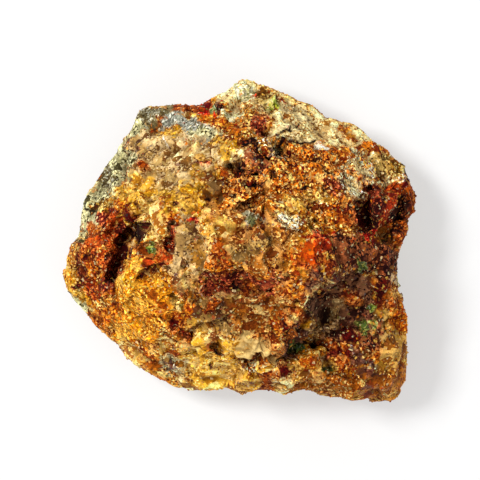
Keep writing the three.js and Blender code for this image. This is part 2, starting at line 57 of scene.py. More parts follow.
# The form, by the same named values as the solid.
OUTLINE = [
    (25.2, 1.8), (25.3, 3.2), (26.4, 4.6), (26.3, 6.8), (25.2, 9), (24.3, 11.4), (23, 12.6), (22, 13.9),
    (19.9, 15), (18.5, 16.3), (17.2, 17.3), (15.4, 17.5), (12.6, 18.5), (11.3, 19.8), (9, 21), (6.2, 22.2),
    (3.6, 23.3), (1.2, 24.3), (-0.7, 23.4), (-2.1, 22.2), (-4.2, 21.4), (-5.4, 20.3), (-8, 20), (-11, 20.2),
    (-13.4, 20.1), (-15, 19.2), (-15.7, 17.9), (-16, 16.7), (-17.4, 15), (-19.1, 12.6), (-20.3, 11.4),
    (-21.9, 8.8), (-23.2, 6.4), (-24, 4), (-24.2, 1.6), (-24.5, 0.2), (-25.5, -1), (-26.1, -3), (-26.4, -5.4),
    (-25.9, -7.6), (-24.9, -9.2), (-23.6, -10.4), (-21.8, -12.6), (-19.2, -15), (-17.7, -16.2), (-17, -17.6),
    (-14.6, -19.2), (-12, -21), (-9.9, -22.2), (-7, -22.7), (-4.6, -22.3), (-2, -22.3), (0.2, -23.4),
    (2.4, -22.6), (4.6, -22.6), (6.8, -23.3), (8.8, -22.5), (10.8, -22.7), (12.2, -23.3), (15, -23.5),
    (17.4, -24.3), (20.6, -24.1), (23, -24.1), (25.1, -21.6), (25.3, -18), (25, -14), (24.9, -11.4),
    (24.2, -9.6), (23.5, -7.6), (23.4, -5.4), (23.7, -3), (24.1, -0.4), (24.9, 0.8),
]
RIM = [  # compass angle, height of the widest line, how far in the face rounds over
    (0, 10, 2.6), (20, 9, 3.2), (45, 8.5, 4.8), (75, 9.5, 5), (92, 11, 5), (112, 10, 3.2), (130, 8, 4),
    (150, 6.5, 5.2), (170, 6.5, 4.4), (195, 8, 4.2), (220, 8, 4.2), (245, 8, 4.4), (270, 9, 3.8),
    (300, 7.5, 3.6), (320, 7, 3.6), (340, 9, 3),
]
HEIGHTS = [
    (-12, 13, 22.5), (-8, 17.5, 19.5), (-13.5, 18, 17.5), (-17.5, 12, 18.5), (-20.5, 7.5, 17), (-15, 7.5, 23.5),
    (-10, 6, 26.5), (-4, 8.5, 27), (-5, 14, 25), (0, 20.5, 21), (1, 15.5, 25), (6, 19.5, 21.5), (8, 13, 25.5),
    (14, 15, 20.5), (19, 12, 18.5), (13, 9, 24.5), (5, 8, 28), (0, 3.5, 29.5), (7, 2, 29), (13, 3, 26),
    (19, 5, 20.5), (23.5, 7, 17), (23.5, 1, 16), (-22.5, 2, 16), (-22, -3, 19), (-24, -7, 14), (-19.5, -9.5, 19),
    (-15, -6, 24.5), (-14, -11, 22.5), (-17, -15, 16.5), (-9, -2, 28), (-2, -1, 30.5), (4, -3, 30.3),
    (10, -2.5, 29), (10.5, -6, 28.5), (0, -7, 28), (8, -9, 27.5), (-6, -9, 25.8), (0, -11, 25), (5, -12, 25),
    (-9, -14, 21.5), (-2, -15, 22.5), (-10, -19, 17.5), (-4, -20, 18.5), (2, -17, 21.5), (1, -21, 18),
    (7, -20, 17.5), (12, -19, 18), (18, -20, 16.5), (23, -20.5, 14), (22, -14, 17), (22, -9, 18), (15, -9, 22),
    (17, -1.5, 23.5), (21, -3, 20),
]
SLOPE_REACH = 2.9
FACET_BLEND = 1.5
STEEPEST = 1.3
HOLLOWS = [  # path, depth, reach on its left, reach on its right, flat share, True for faded ends
    ([(-15.3, 2.9), (-15.4, 1.2), (-17.4, -0.4), (-18.2, -3), (-18.9, -5.6)], 7, 1.3, 1.25, 0.5),
    ([(-18.2, 2.4), (-18.8, 0)], 1.9, 1.9, 1.5, 0.2),
    ([(-18, -7), (-18.4, -9.2)], 2, 0.9, 1.2, 0.2),
    ([(-9.8, 2.2), (-10.1, 1), (-10.2, -1.4)], 2.4, 0.55, 0.75, 0.3),
    ([(-13.8, -1.6), (-11.4, -2.4)], 1, 1.3, 1.5, 0.3),
    ([(-15.2, -5.8), (-12.2, -4.1)], 1.2, 0.55, 0.5, 0.2),
    ([(-5.2, 19.8), (-2.6, 19.6)], 2.6, 0.9, 0.9, 0.3),
    ([(6.2, 16.1), (7.4, 16.7), (9.2, 16.7)], 2.2, 0.6, 0.6, 0.3),
    ([(5.6, 13.9), (7.6, 14.4), (10.4, 14.3)], 2.2, 0.9, 0.8, 0.3),
    ([(2.4, 12.6), (4.2, 11.9)], 2.4, 0.8, 0.8, 0.3),
    ([(-1.6, 10.6), (0.4, 10), (2.7, 9.7)], 3.2, 1, 1.1, 0.4),
    ([(1, 7.9), (2.6, 8)], 1.8, 0.6, 0.6, 0.2),
    ([(-0.6, 4.7), (2, 5.2), (4, 6.6), (6, 7)], 2, 0.7, 0.6, 0.2),
    ([(-7, 11.5), (-5.2, 11.6)], 1.6, 0.7, 0.7, 0.2),
    ([(13.6, 8.2), (14.3, 7.4)], 2, 0.8, 0.8, 0.3),
    ([(19.2, 7.4), (18.4, 4.6), (18.6, 3)], 4.2, 1.9, 1.7, 0.3),
    ([(23.6, 7), (23.6, 4.2), (22, 0.8)], 4.2, 1.7, 1.5, 0.25),
    ([(-6.5, -7.2), (-3, -7.9), (2.2, -7.9), (5.6, -7.2), (7.5, -7)], 2.7, 3.8, 0.45, 0, True),
    ([(14.6, -4), (11.6, -5.7), (10.4, -7.4), (10, -9.8), (8.8, -12.6), (6.6, -14), (6, -16.6)],
     5.2, 10.5, 0.3, 0.22, True),
    ([(12.2, -8.6), (11.4, -11.6)], 0.8, 1.8, 1.4, 0.3),
    ([(7.2, -15.8), (10.8, -16.3)], 1.2, 0.8, 0.8, 0.3),
    ([(13.2, -16.6), (15.2, -17.1)], 1.7, 1, 1, 0.3),
    ([(-4.1, -16), (-3.2, -16), (-2.8, -16.7)], 3.6, 0.75, 0.75, 0.5),
    ([(-10.2, -11.6), (-8.6, -13), (-7, -14.2)], 2.2, 0.7, 0.8, 0.2),
    ([(-11.9, -11.4), (-11.7, -11.5)], 1.6, 0.6, 0.6, 0.3),
    ([(-13.6, -16.6), (-10.2, -16)], 1.4, 0.9, 0.9, 0.2),
    ([(0, -17.5), (2.6, -17.6), (4.8, -17), (3.4, -15.5)], 1.5, 0.3, 2.6, 0.15, True),
    ([(0.2, -18.6), (2.2, -20), (2.6, -22.8)], 1.6, 2.6, 0.3, 0.2),
    ([(-24, -3), (-24, -6.6)], 0.9, 0.6, 0.6, 0.1),
    ([(-22.6, -3), (-22.7, -7.2)], 1.1, 0.6, 0.6, 0.1),
]
LUMPS = [
    ([(-4.5, 8.9), (-3.4, 8)], 1.6, 2.1, 2.1, 0.35),
    ([(6.2, -4.7), (6.4, -6.3)], 1.2, 0.8, 0.8, 0.3),
    ([(-15.8, -16.4), (-15.2, -17.8)], 1.6, 1.6, 1.5, 0.2),
    ([(-10.8, -18.6), (-9.6, -19.4)], 1.5, 1.7, 1.7, 0.3),
    ([(5.8, -21.4), (7.4, -21.7)], 1.4, 0.9, 0.9, 0.2),
    ([(10.4, -18), (11.8, -17.2)], 1.8, 1.2, 1.2, 0.2),
    ([(14.4, -10.6), (14.8, -12.6)], 2, 1, 1.1, 0.2),
    ([(11.6, -13.4), (13.6, -13)], 1.8, 1, 1.2, 0.2),
    ([(21.4, 9.2), (21, 5), (20.6, 2.6)], 1.4, 0.9, 0.9, 0.2),
    ([(15.6, 9), (17, 7.6)], 1, 1.2, 1.2, 0.2),
    ([(11, 13.3), (12.4, 12.8)], 0.9, 0.6, 0.6, 0.2),
]
CHIPS = [(6.2, 0.9, 0.45, 0), (2.9, 0.35, 0.4, 40)]  # cell, step, tilt, seed
RIPPLE = (2.1, 0.2)
WARP = (2.2, 0.45)
RIM_CALM = (0.25, 3)
UNDERCUT = (0.07, 0.22, 11, 1.6)
NOTCH_DEPTH = 0.3
BREAKS = [
    (8, 24), (38, 34), (62, 27), (97, 30), (128, 36), (153, 25), (187, 30), (222, 27), (256, 31), (285, 24),
    (340, 22), (20, -24), (55, -34), (105, -22), (150, -38), (200, -28), (240, -35), (290, -20), (335, -30),
]

# What the surface can be made of: main, dark and pale tone as seen, shares of dark and pale grains, roughness,
# the shares of crumb, angular chip and pit relief, how coarse the grains are, how much single grains vary,
# and the share of grains of other stone.
KINDS = {
    "rust": ((180, 108, 17), (101, 37, 4), (225, 188, 106), 0.34, 0.2, 0.85, 0.9, 0.3, 0.5, 0.25, 1.27, 0.098),
    "rustbrown": ((153, 67, 8), (89, 26, 3), (195, 120, 52), 0.4, 0.12, 0.85, 0.9, 0.3, 0.4, 0.25, 0.93, 0.084),
    "redrust": ((151, 86, 19), (107, 47, 7), (186, 150, 87), 0.38, 0.15, 0.85, 1, 0.3, 0.5, 0.4, 0.89, 0.08),
    "orange": ((175, 86, 4), (119, 38, 3), (216, 142, 41), 0.36, 0.18, 0.85, 0.8, 0.1, 0.2, 0.3, 1.21, 0.084),
    "brightorange": ((178, 58, 3), (150, 38, 3), (210, 96, 10), 0.26, 0.16, 0.85, 0.5, 0.1, 0.1, 0.4, 0.8, 0.03),
    "orangered": ((152, 40, 6), (96, 14, 4), (206, 92, 26), 0.38, 0.16, 0.8, 0.4, 0.2, 0.2, 0.4, 0.82, 0.12),
    "porous": ((197, 107, 19), (89, 19, 5), (245, 186, 97), 0.3, 0.2, 0.85, 1, 0.3, 1, 0.15, 1.6, 0.07),
    "ochre": ((184, 131, 19), (127, 65, 5), (219, 173, 79), 0.2, 0.3, 0.8, 0.6, 0.4, 0.3, 0.3, 1.12, 0.1),
    "smoothochre": ((209, 132, 16), (152, 70, 3), (240, 181, 73), 0.25, 0.25, 0.8, 0.15, 0.05, 0.05, 0.15, 1.53, 0.04),
    "oliveyellow": ((183, 128, 44), (104, 53, 12), (229, 189, 124), 0.25, 0.15, 0.6, 0.3, 0.6, 0.2, 0.7, 1.09, 0.1),
    "oliverust": ((140, 94, 17), (85, 47, 5), (217, 186, 107), 0.35, 0.23, 0.8, 0.9, 0.4, 0.4, 0.25, 1.18, 0.126),
    "golden": ((171, 123, 34), (116, 64, 11), (193, 148, 71), 0.3, 0.3, 0.6, 0.3, 0.8, 0.2, 0.6, 0.5, 0.05),
    "goldcream": ((224, 165, 44), (165, 107, 15), (245, 202, 114), 0.22, 0.34, 0.5, 0.15, 0.8, 0, 0.7, 0.55, 0.03),
    "tan": ((168, 133, 71), (105, 66, 23), (205, 175, 122), 0.22, 0.34, 0.4, 0.12, 0.9, 0.1, 0.75, 0.42, 0.03),
    "cream": ((217, 180, 112), (125, 82, 30), (248, 219, 154), 0.16, 0.4, 0.5, 0.1, 0.5, 0, 0.7, 0.55, 0.03),
    # Pale yellow, partly the quartz's own colour, partly a painted highlight on lit rims and lips and painted light on
    # shaded spots.
    "paleyellow": ((247, 181, 105), (156, 87, 38), (250, 237, 157), 0.25, 0.35, 0.6, 0.5, 0.5, 0.1, 0.4, 0.68, 0.08),
    "creamquartz": ((202, 161, 70), (161, 94, 19), (232, 199, 124), 0.2, 0.36, 0.35, 0.1, 1, 0.05, 0.8, 0.42, 0.04),
    "creamcrust": ((222, 191, 122), (142, 89, 23), (240, 215, 156), 0.15, 0.4, 0.7, 0.7, 0.5, 0.3, 0.35, 0.89, 0.05),
    "whitequartz": ((200, 164, 99), (86, 47, 8), (250, 250, 194), 0.24, 0.4, 0.35, 0.3, 1, 0.1, 0.5, 1.6, 0.12),
    # White specks, partly white quartz, partly painted glints.
    "white": ((236, 226, 200), (190, 170, 130), (246, 242, 230), 0.15, 0.4, 0.35, 0.1, 0.6, 0, 0.5, 0.3, 0),
    "greyquartz": ((147, 112, 61), (78, 45, 19), (198, 163, 108), 0.28, 0.32, 0.32, 0.1, 1, 0.1, 0.75, 0.45, 0.05),
    "smoky": ((112, 78, 39), (84, 48, 13), (155, 126, 72), 0.34, 0.12, 0.25, 0.02, 0.5, 0, 0.9, 0.3, 0.01),
    "mauve": ((93, 49, 27), (68, 28, 15), (115, 67, 45), 0.34, 0.18, 0.4, 0.3, 0.8, 0.1, 0.6, 0.36, 0.06),
    "olivequartz": ((174, 110, 36), (111, 51, 6), (249, 189, 105), 0.34, 0.2, 0.4, 0.2, 0.8, 0.2, 0.66, 0.55, 0.05),
    "brownquartz": ((106, 71, 27), (72, 38, 15), (167, 130, 70), 0.26, 0.35, 0.45, 0.25, 0.8, 0.2, 0.62, 0.48, 0.05),
    "olivebrown": ((64, 22, 6), (31, 6, 6), (145, 78, 41), 0.3, 0.34, 0.7, 0.7, 0.5, 0.4, 0.4, 1.16, 0.12),
    # Dark brown of the bowl's recess, partly painted shade.
    "recess": ((83, 41, 25), (46, 17, 10), (131, 85, 55), 0.3, 0.36, 0.6, 0.5, 0.7, 0.3, 0.5, 0.6, 0.04),
    "olivecream": ((250, 170, 67), (124, 49, 8), (250, 250, 192), 0.28, 0.33, 0.7, 0.9, 0.4, 0.4, 0.25, 1.6, 0.098),
    "paleolive": ((181, 127, 39), (109, 51, 3), (239, 191, 102), 0.24, 0.3, 0.6, 0.7, 0.4, 0.2, 0.4, 1.49, 0.1),
    "pinkgrey": ((141, 75, 9), (105, 42, 4), (174, 109, 27), 0.3, 0.21, 0.5, 0.5, 0.5, 0.3, 0.5, 0.63, 0.08),
    "bluegrey": ((138, 138, 120), (88, 86, 68), (186, 184, 166), 0.2, 0.42, 0.55, 0.7, 0.5, 0.3, 0.25, 1.12, 0.02),
    "rind": ((168, 160, 110), (62, 54, 26), (214, 206, 156), 0.2, 0.36, 0.75, 0.7, 0.2, 0.3, 0.2, 0.95, 0.02),
    "olivedark": ((110, 97, 60), (71, 57, 30), (165, 160, 136), 0.36, 0.22, 0.75, 0.8, 0.2, 0.4, 0.25, 1, 0.02),
    "darkgrey": ((52, 44, 28), (28, 22, 12), (92, 84, 60), 0.35, 0.2, 0.7, 0.8, 0.3, 0.3, 0.25, 0.9, 0.06),
    "purplebrown": ((62, 32, 26), (38, 17, 12), (110, 74, 64), 0.3, 0.28, 0.7, 0.6, 0.4, 0.3, 0.4, 0.99, 0.08),
    # Very dark rust, laid mostly in grooves, under ledges and at the feet of walls, partly as painted shade.
    "rustdark": ((58, 3, 3), (42, 3, 3), (90, 14, 3), 0.3, 0.25, 0.85, 0.8, 0.3, 0.3, 0.25, 0.87, 0.1),
    "deepred": ((172, 20, 3), (77, 3, 3), (247, 137, 80), 0.36, 0.14, 0.8, 0.7, 0.2, 0.3, 0.25, 1.6, 0.1),
    "maroon": ((109, 32, 21), (68, 15, 10), (203, 105, 57), 0.32, 0.18, 0.8, 0.8, 0.3, 0.4, 0.2, 1.28, 0.098),
    # Dark maroon, partly the stone's own colour, partly painted shade where its strokes follow the hollows.
    "dark": ((48, 16, 12), (18, 6, 5), (142, 78, 44), 0.35, 0.12, 0.85, 0.6, 0.2, 0.2, 0.2, 1.6, 0.084),
    # Painted shade: near black laid along the bottoms of pits and hollows.
    "pitblack": ((26, 10, 8), (14, 6, 5), (64, 28, 16), 0.35, 0.12, 0.85, 0.3, 0.2, 0, 0.2, 0.8, 0.04),
    "rustred": ((164, 56, 8), (95, 22, 3), (221, 119, 46), 0.34, 0.14, 0.85, 0.9, 0.3, 0.4, 0.25, 1.11, 0.08),
    "plate": ((184, 144, 78), (120, 76, 26), (212, 176, 108), 0.12, 0.3, 0.5, 0.05, 0.25, 0, 0.8, 0.3, 0.02),
    # Painted light: bright red rust laid on walls that the key leaves in shade, so they read as lit.
    "redwall": ((240, 104, 36), (180, 60, 16), (248, 170, 90), 0.34, 0.14, 0.85, 0.9, 0.2, 0.3, 0.25, 1, 0.08),
    "tancrust": ((192, 166, 108), (130, 88, 30), (214, 192, 138), 0.2, 0.3, 0.7, 0.7, 0.5, 0.3, 0.35, 0.7, 0.05),
    "umber": ((74, 46, 32), (46, 26, 18), (112, 76, 54), 0.3, 0.25, 0.6, 0.3, 0.4, 0.1, 0.5, 0.63, 0.03),
    "green": ((104, 120, 44), (60, 72, 24), (168, 172, 92), 0.3, 0.25, 0.4, 0.5, 0.5, 0, 0.2, 1, 0.3),
    "yellowgreen": ((170, 178, 66), (96, 108, 24), (230, 226, 146), 0.3, 0.3, 0.4, 0.5, 0.5, 0, 0.2, 1, 0.2),
    "darkgreen": ((62, 72, 30), (36, 46, 18), (120, 114, 52), 0.3, 0.25, 0.4, 0.5, 0.5, 0, 0.2, 0.9, 0.2),
    "palegreen": ((212, 204, 152), (146, 138, 72), (234, 228, 186), 0.25, 0.35, 0.5, 0.6, 0.5, 0.1, 0.2, 1, 0.1),
}

# Where each kind shows on the upper face: kind and its strokes, each with its reach and then the x, y of its
# path's points. Later ones lie over earlier ones. Near-black strokes, and many dark and dark rust ones, lie
# along the hollows as painted shade; some bright red, pale yellow, cream and white strokes are painted light,
# painted highlight and painted glint.
PATCHES = [
    ("ochre", (3.3, -18, 5, -13, 6.8, -6, 5.6)), ("rust", (2.9, -22.5, -0.5, -22.6, -6)),
    ("tan", (3.2, -14.5, 13, -10, 13.6, -4.6, 13.2), (2.1, -15, 10, -8, 10.4)),
    ("maroon", (1, -20.6, 4, -17.8, 4), (0.5, -24, -3, -24, -7), (0.5, -22.7, -2.8, -22.8, -7.2),
        (1.7, -18, 1.4, -18.8, -2, -19, -5.8), (0.6, -6.9, 11.5, -5.4, 11.6)),
    ("ochre", (1, -25.2, -6.8, -23.4, -8.8)), ("cream", (0.9, -8.8, 12.4, -6.4, 13.2), (0.8, -8.6, 12.5, -7, 12.2)),
    ("greyquartz", (2.9, -8.5, 1, -7.5, -5.5)), ("olivequartz", (3.1, 0, -1, 6, -1), (2.6, -2.5, 3.5, 5, 3.5)),
    ("porous", (3.3, 3.5, 10, 10, 10.5, 15.5, 9.5), (2.4, -1, 7, 9, 7.4, 15, 4.5)),
    ("smoky", (1.35, -4, 9, -3.6, 7.2)),
    # Dark strokes along cavities: painted shade over dark maroon.
    ("dark", (0.45, -1, 10.1, 0.4, 9.7, 2.4, 9.6), (0.3, -9.4, 5.4, -9, 5.4), (0.3, -4.7, 5.3, -4.2, 5.3),
        (0.35, 0.2, 4.9, 2.2, 5.1), (0.3, 1, 8, 3.6, 8)),
    ("whitequartz", (1.1, 6.2, 3.2, 7.9, 2.6)),
    ("paleolive", (1, 5.4, 6, 7.6, 5.6), (1.2, 9.8, 6.4, 12.6, 6), (0.8, 11.2, 5.2, 12.8, 5)),
    ("brownquartz", (1.4, -0.6, -2.2, 3.2, -0.6), (3.3, -6, -11, -1, -11)),
    ("golden", (0.7, 7.8, 5.2, 9, 5), (0.6, -6.6, 10.6, -6, 9.8), (0.6, -6.4, 12.5, -5.6, 12.2)),
    ("olivebrown", (2.7, 15.5, -1.5, 19, -2.6, 22.8, -2.4)), ("rind", (0.8, -25.8, -7.8, -23.5, -10.4)),
    # Dark strokes along hollows: painted shade over dark maroon.
    ("dark", (0.35, -25.6, -7.6, -25.5, -7.8), (0.35, 2.6, 6.4, 6, 7.1)),
    ("brightorange", (1.7, 9.4, -3, 10.8, -1.8)), ("olivedark", (0.7, 1.3, 2.8, 2.7, 2.8)),
    ("ochre", (0.6, 8, 5.3, 8.9, 4.9)),
    # Painted shade in small pits.
    ("pitblack", (0.16, 10.4, 11.6, 11.4, 11.4), (0.18, 6.4, 9.4, 7.6, 9.3), (0.16, 8.8, 7.6, 10, 7.8),
        (0.2, 1.2, 7.7, 2.8, 7.8, 3.8, 7.5)),
    ("deepred", (0.9, 11, 0.6, 12.8, 0.3), (0.7, 10.8, -3.2, 11.6, -2.4), (1, -18.8, 2, -19, -0.6)),
    ("orangered", (0.8, 11.9, -2.6, 12.4, -0.6), (0.6, 9.3, 0.1, 11.4, -0.5)), ("rust", (2.6, -1, 19, 1.5, 15)),
    # Dark strokes in the vug and the northern cavities: painted shade over dark maroon.
    ("dark", (1.2, -16.2, 3.6, -14.7, 2.6, -15, 1, -15.7, -1.6), (1.1, -18, -0.6, -18.4, -3, -18.7, -5.6),
        (0.7, 2.4, 12.9, 4.4, 12), (0.4, 5, 13.4, 6.2, 12.6)),
    ("tan", (0.35, -16.3, 0, -16.1, -1.9)),
    ("smoothochre", (2, -16.2, -3, -15.8, -9, -15.5, -12.6), (2.7, -12.8, -7, -12.4, -12),
        (1.4, -17.6, -10.2, -17, -13.6)),
    ("creamcrust", (1.9, -2, 22, 1.2, 22.8, 4, 21.2, 7.5, 19, 11, 17, 15, 15.4, 18, 15.5),
        (1.5, 6, 16.6, 10, 16, 14, 14.6)),
    ("olivecream", (2.1, 16.5, 11.8, 21, 11.4, 23.8, 9.4), (0.8, 11.4, 5.2, 12.6, 5)),
    # Tiny white strokes, partly painted glints.
    ("white", (0.12, -11.9, -10.7, -11.8, -10.7), (0.22, 11.2, 13.2, 12.7, 12.7)),
    # The cream stroke is the lit upper rim of the black cavity, a painted highlight.
    ("cream", (0.35, -1.9, 11.6, 0.4, 11.4)), ("oliverust", (1.5, 3.5, 22, 5.5, 20)),
    ("paleyellow", (0.4, -9, -4.2, -9.2, -8.8)),
    ("orange", (0.7, 8, -3.6, 8.8, -4.2), (1.3, -18.4, -10.8, -20.4, -11.2), (1.4, -8.8, -9.6, -8, -12.4),
        (0.9, 15.4, 16.2, 17, 15.8), (0.8, 19, 14, 21.4, 13.4)),
    ("redrust", (3, 1.5, -11, 8, -11), (0.8, 3.8, 7.2, 5.6, 6.6)),
    ("rustbrown", (1, 5.8, -12.2, 7, -13.4), (0.9, -22.6, 0.4, -22.2, -1.2), (1.5, -14.4, -1.5, -12.4, -2),
        (0.7, -15.2, 3.8, -14.6, 3), (1.2, -22.8, -1, -22.2, -5), (0.3, -14.4, -5, -14.2, -5),
        (0.7, -2.8, 10.6, -2.2, 10.2)),
    ("maroon", (2, 19.2, 8, 18.2, 4.6, 19, 2.2), (1, 15.6, 3.8, 17.4, 3), (1.5, -5.4, -6.6, 0, -6.9, 5, -6.4),
        (0.8, -18, -1.4, -18.4, -5), (0.7, -10.4, -12, -8.6, -13.4, -6.9, -14.4), (1, 3, 17.8, 3.8, 16.6)),
    ("deepred", (0.4, 2.4, 22.5, 2.6, 22.5), (0.35, 5.4, 21.6, 6.8, 21.4)),
    ("rust", (0.9, -23, 2, -21.6, 1), (1.5, -14.6, -16.2, -10, -16.3)),
    # Dark strokes along hollows: painted shade over dark maroon.
    ("dark", (1.1, 18.4, 6.2, 18, 4, 18.4, 2.6), (0.6, -2.6, -7.4, 1.4, -7.5), (0.4, -11.9, -11.5, -11.6, -11.7),
        (0.7, 0.2, 10.8, 1.4, 9.8)),
    ("creamquartz", (1, -16.5, -16, -15.6, -17.8), (0.9, -7.9, -5, -7.7, -6.6), (0.9, -16.6, -16.2, -15.8, -17.8)),
    # The pale yellow stroke on this line is the lip under the quartz ledge, a painted highlight.
    ("paleyellow", (0.4, -3.2, -8.4, 1.7, -8.5)), ("palegreen", (0.9, 0.4, 22.6, 1.6, 22.4)),
    # Dark rust at the bowl's head, the vug and the western grooves, partly painted shade.
    ("rustdark", (1.1, 13.2, -3.8, 14.4, -5.4), (1.1, -15.8, 4, -14.6, 3.1), (0.25, -13, -4.3, -12.6, -4.3),
        (0.28, -24.2, -2.6, -24.1, -6.6), (0.28, -22.7, -2.6, -22.8, -7), (0.22, -21.6, -1, -21.5, -4.8)),
    ("orange", (0.8, 2.6, -4.5, 4.4, -4.4), (0.9, 8.3, -4.8, 8.5, -7.6), (0.7, 4.2, -13, 5.8, -13),
        (1, -11.8, -0.6, -11, -2.4), (0.9, -19, 5.2, -16.4, 5)),
    # The bowl's recess: dark brown, partly painted shade.
    ("recess", (3.6, 12.6, -7.5, 14, -12.5), (2.7, 17.5, -6.5, 17.8, -12)),
    ("rind", (2, -15.2, 17.8, -17.2, 13.4, -19.6, 9.8, -21.8, 6, -23.8, 1.8), (0.6, -18.6, 11.6, -18, 10.9)),
    ("darkgrey", (0.9, 24.3, 11, 25.4, 8.8), (0.16, -17.4, 13.8, -16.9, 13.2), (0.2, -20, 10.1, -20.3, 9.4),
        (0.2, -20.6, 9, -21, 8.2), (0.12, -23.4, 5.6, -22.6, 5.2), (0.12, -23.9, 2.6, -23, 2.6),
        (0.18, -23.8, 4.1, -21.8, 4.8, -20.2, 4.4), (0.16, -24.2, 1.2, -22.8, 1.2)),
    ("rust", (0.8, -12, -12.6, -11.2, -13.4)),
    ("olivedark", (1, -14, 19.1, -8, 19.4), (0.8, -20.6, 9, -20.2, 8.4), (0.6, -20.2, 10.2, -19.6, 9.4)),
    ("bluegrey", (1.2, -11.2, 17.4, -8, 17, -4.8, 16.1), (0.5, -5, 15.8, -3, 15.5)),
    ("olivedark", (1, -15, 18.6, -12.6, 18.2)),
    ("rustbrown", (1.4, 25, 6.5, 24.8, 3, 23.6, 0.2), (1, -3.2, -0.4, -2.2, -3.6), (0.6, -9, 19.6, -5.8, 19.6),
        (0.8, -14.2, 11, -13.8, 11), (0.7, -5, -9.2, -3.4, -9.7), (0.8, -20.8, 3.6, -19.6, 3),
        (0.6, 0.8, -7.6, 2, -7.4), (0.5, 8.2, -3.8, 8.8, -4.1)),
    ("rustred", (0.9, -19.4, 2.4, -19.6, -1.4), (0.8, -20.4, -2.6, -20.6, -4.6), (1, -22.8, 2, -21.4, -0.8)),
    ("oliverust", (0.8, -20.6, 5.2, -20, 5), (0.7, -10, -9, -9.3, -9.5)), ("olivecream", (1, 17, 10.6, 19.2, 10.4)),
    # Painted light on the vug's shaded west wall.
    ("redwall", (0.9, -18.7, 2.2, -18.5, -0.8)),
    ("whitequartz", (1.5, -10.8, -18.6, -9.6, -19.4), (1, 15, 9, 16.9, 7.4)),
    ("goldcream", (2.7, -7, -17, -5, -20.6), (1.4, -2.5, -15.6, 0, -16), (2.2, -2.2, -20, 1, -21),
        (1.2, -3, -18, -1, -18.6), (0.9, -15.6, 8.9, -14.2, 8.6), (0.6, -6.5, 5.3, -5.5, 4.9)),
    ("ochre", (0.9, -11.8, 15.9, -9.6, 15.7), (0.9, -3.2, 14.4, -1.6, 13.6), (0.8, -8.6, -16.4, -7, -16.6)),
    ("maroon", (0.4, -4.2, -15.9, -3.2, -15.9, -2.7, -16.8), (0.8, 13.4, 8, 14.5, 7.4),
        (0.6, -3.4, -7.3, -1.6, -7.5)),
    ("umber", (1.3, 11.8, -6.9, 11.2, -11.8)),
    # The first grey quartz stroke lightens the bowl floor at the foot of its wall, partly painted light on the shade
    # there.
    ("greyquartz", (1.2, 14, -10.6, 14.2, -13), (0.9, 10.8, -13.2, 13.6, -13.4), (1.1, -16, 14.6, -14, 13.6)),
    # Dark strokes along the eastern hollow, the vug and small cavities: painted shade over dark maroon.
    ("dark", (1.6, 23.6, 5, 23, 3.2, 22.3, 1.6), (0.9, -15.4, 2.5, -14.9, 1), (0.35, -4.8, -18.7, -4.6, -18.9),
        (0.7, 0.2, 13.8, 1.6, 14.7)),
    ("creamquartz", (1.6, -12.6, 4.4, -11.8, 0.4), (1, -4.6, 1.6, -2, 1.4), (0.7, -11.8, -14.6, -10.8, -14.8)),
    ("orangered", (0.8, 24, 8, 21.8, 5, 20.6, 2.6)),
    ("deepred", (0.9, 19.4, 1.8, 19, 0.8), (0.9, -5.4, 19.4, -3.4, 19.4), (0.4, -9.8, 2.2, -10.1, 1, -10.4, -0.8)),
    # Pale yellow along the bowl's rim: a painted highlight.
    ("paleyellow", (0.4, 13.2, -5.2, 11.4, -6, 10.4, -7.5, 9.9, -9.6)),
    # Painted shade in the northern slots, the vug and the eastern hollow.
    ("pitblack", (0.35, 6.2, 16.1, 7.4, 16.7, 9.2, 16.7), (0.35, 5.9, 13.9, 7.6, 14.4, 10, 14.3),
        (0.7, -16, 2.8, -14.9, 2, -15, 0.8), (0.7, 22.8, 4.2, 22.4, 2.2), (0.16, 12.4, 9.8, 13.4, 9.6)),
    ("umber", (0.6, 11.8, -7, 12.2, -8)), ("olivecream", (0.7, 2.6, 14.3, 5, 14.4)),
    ("olivebrown", (0.6, 24.8, 9.4, 24.4, 8.2), (1, 0.8, 12.2, 3.2, 10.8), (0.6, 11.8, -7.2, 12.2, -8)),
    ("oliverust", (0.6, 9.4, -10.6, 7.4, -12.8, 6, -14.6), (0.9, 20.8, 10.6, 23, 10.4), (0.8, 20.6, 12.6, 21.6, 12)),
    ("purplebrown", (1.5, 8.8, -13.8, 7, -16.4), (0.7, 5.2, 12.8, 6, 12.6)),
    ("umber", (0.9, 7.4, -15.4, 11.6, -15.6)),
    ("creamcrust", (1.2, 6.4, 19.4, 8.8, 17.8), (0.8, 16.6, 10.7, 18.2, 10.4), (0.7, -1.4, 12.6, 0.2, 12.2),
        (0.6, -12, -17.4, -10, -16.9, -8.2, -18.6, -9, -20.8), (0.7, -1, 12.3, 0, 12.2),
        (0.5, 9.4, 14.9, 10.8, 14.8), (0.4, -1.6, 11, -0.8, 11.2)),
    ("tancrust", (1, 8, 19.4, 9.8, 18.2)), ("rust", (0.7, -13.6, -16.2, -12.8, -16.6)),
    ("creamcrust", (0.8, 11.6, 17.8, 12.6, 17.4), (0.7, 11.6, 16, 12.6, 15.6), (0.7, 6.2, 19.8, 6.8, 19.4)),
    ("yellowgreen", (0.5, 4.6, 20, 5.3, 20)),
    # Painted shade in the cavities north of the summit.
    ("pitblack", (0.3, 0.8, 10.2, 1.8, 9.9), (0.4, 3, 12.4, 4.2, 12), (0.28, -0.4, 14.4, 0.6, 13.6, 1.6, 13.4),
        (0.22, 1.6, 14.2, 2.6, 13, 3.8, 12.6), (0.2, 7, 14.6, 8.4, 14.2, 9.8, 14.4, 11.2, 14)),
    # Dark rust on a shaded block face, the bowl wall's foot, the streak and the vug, partly painted shade.
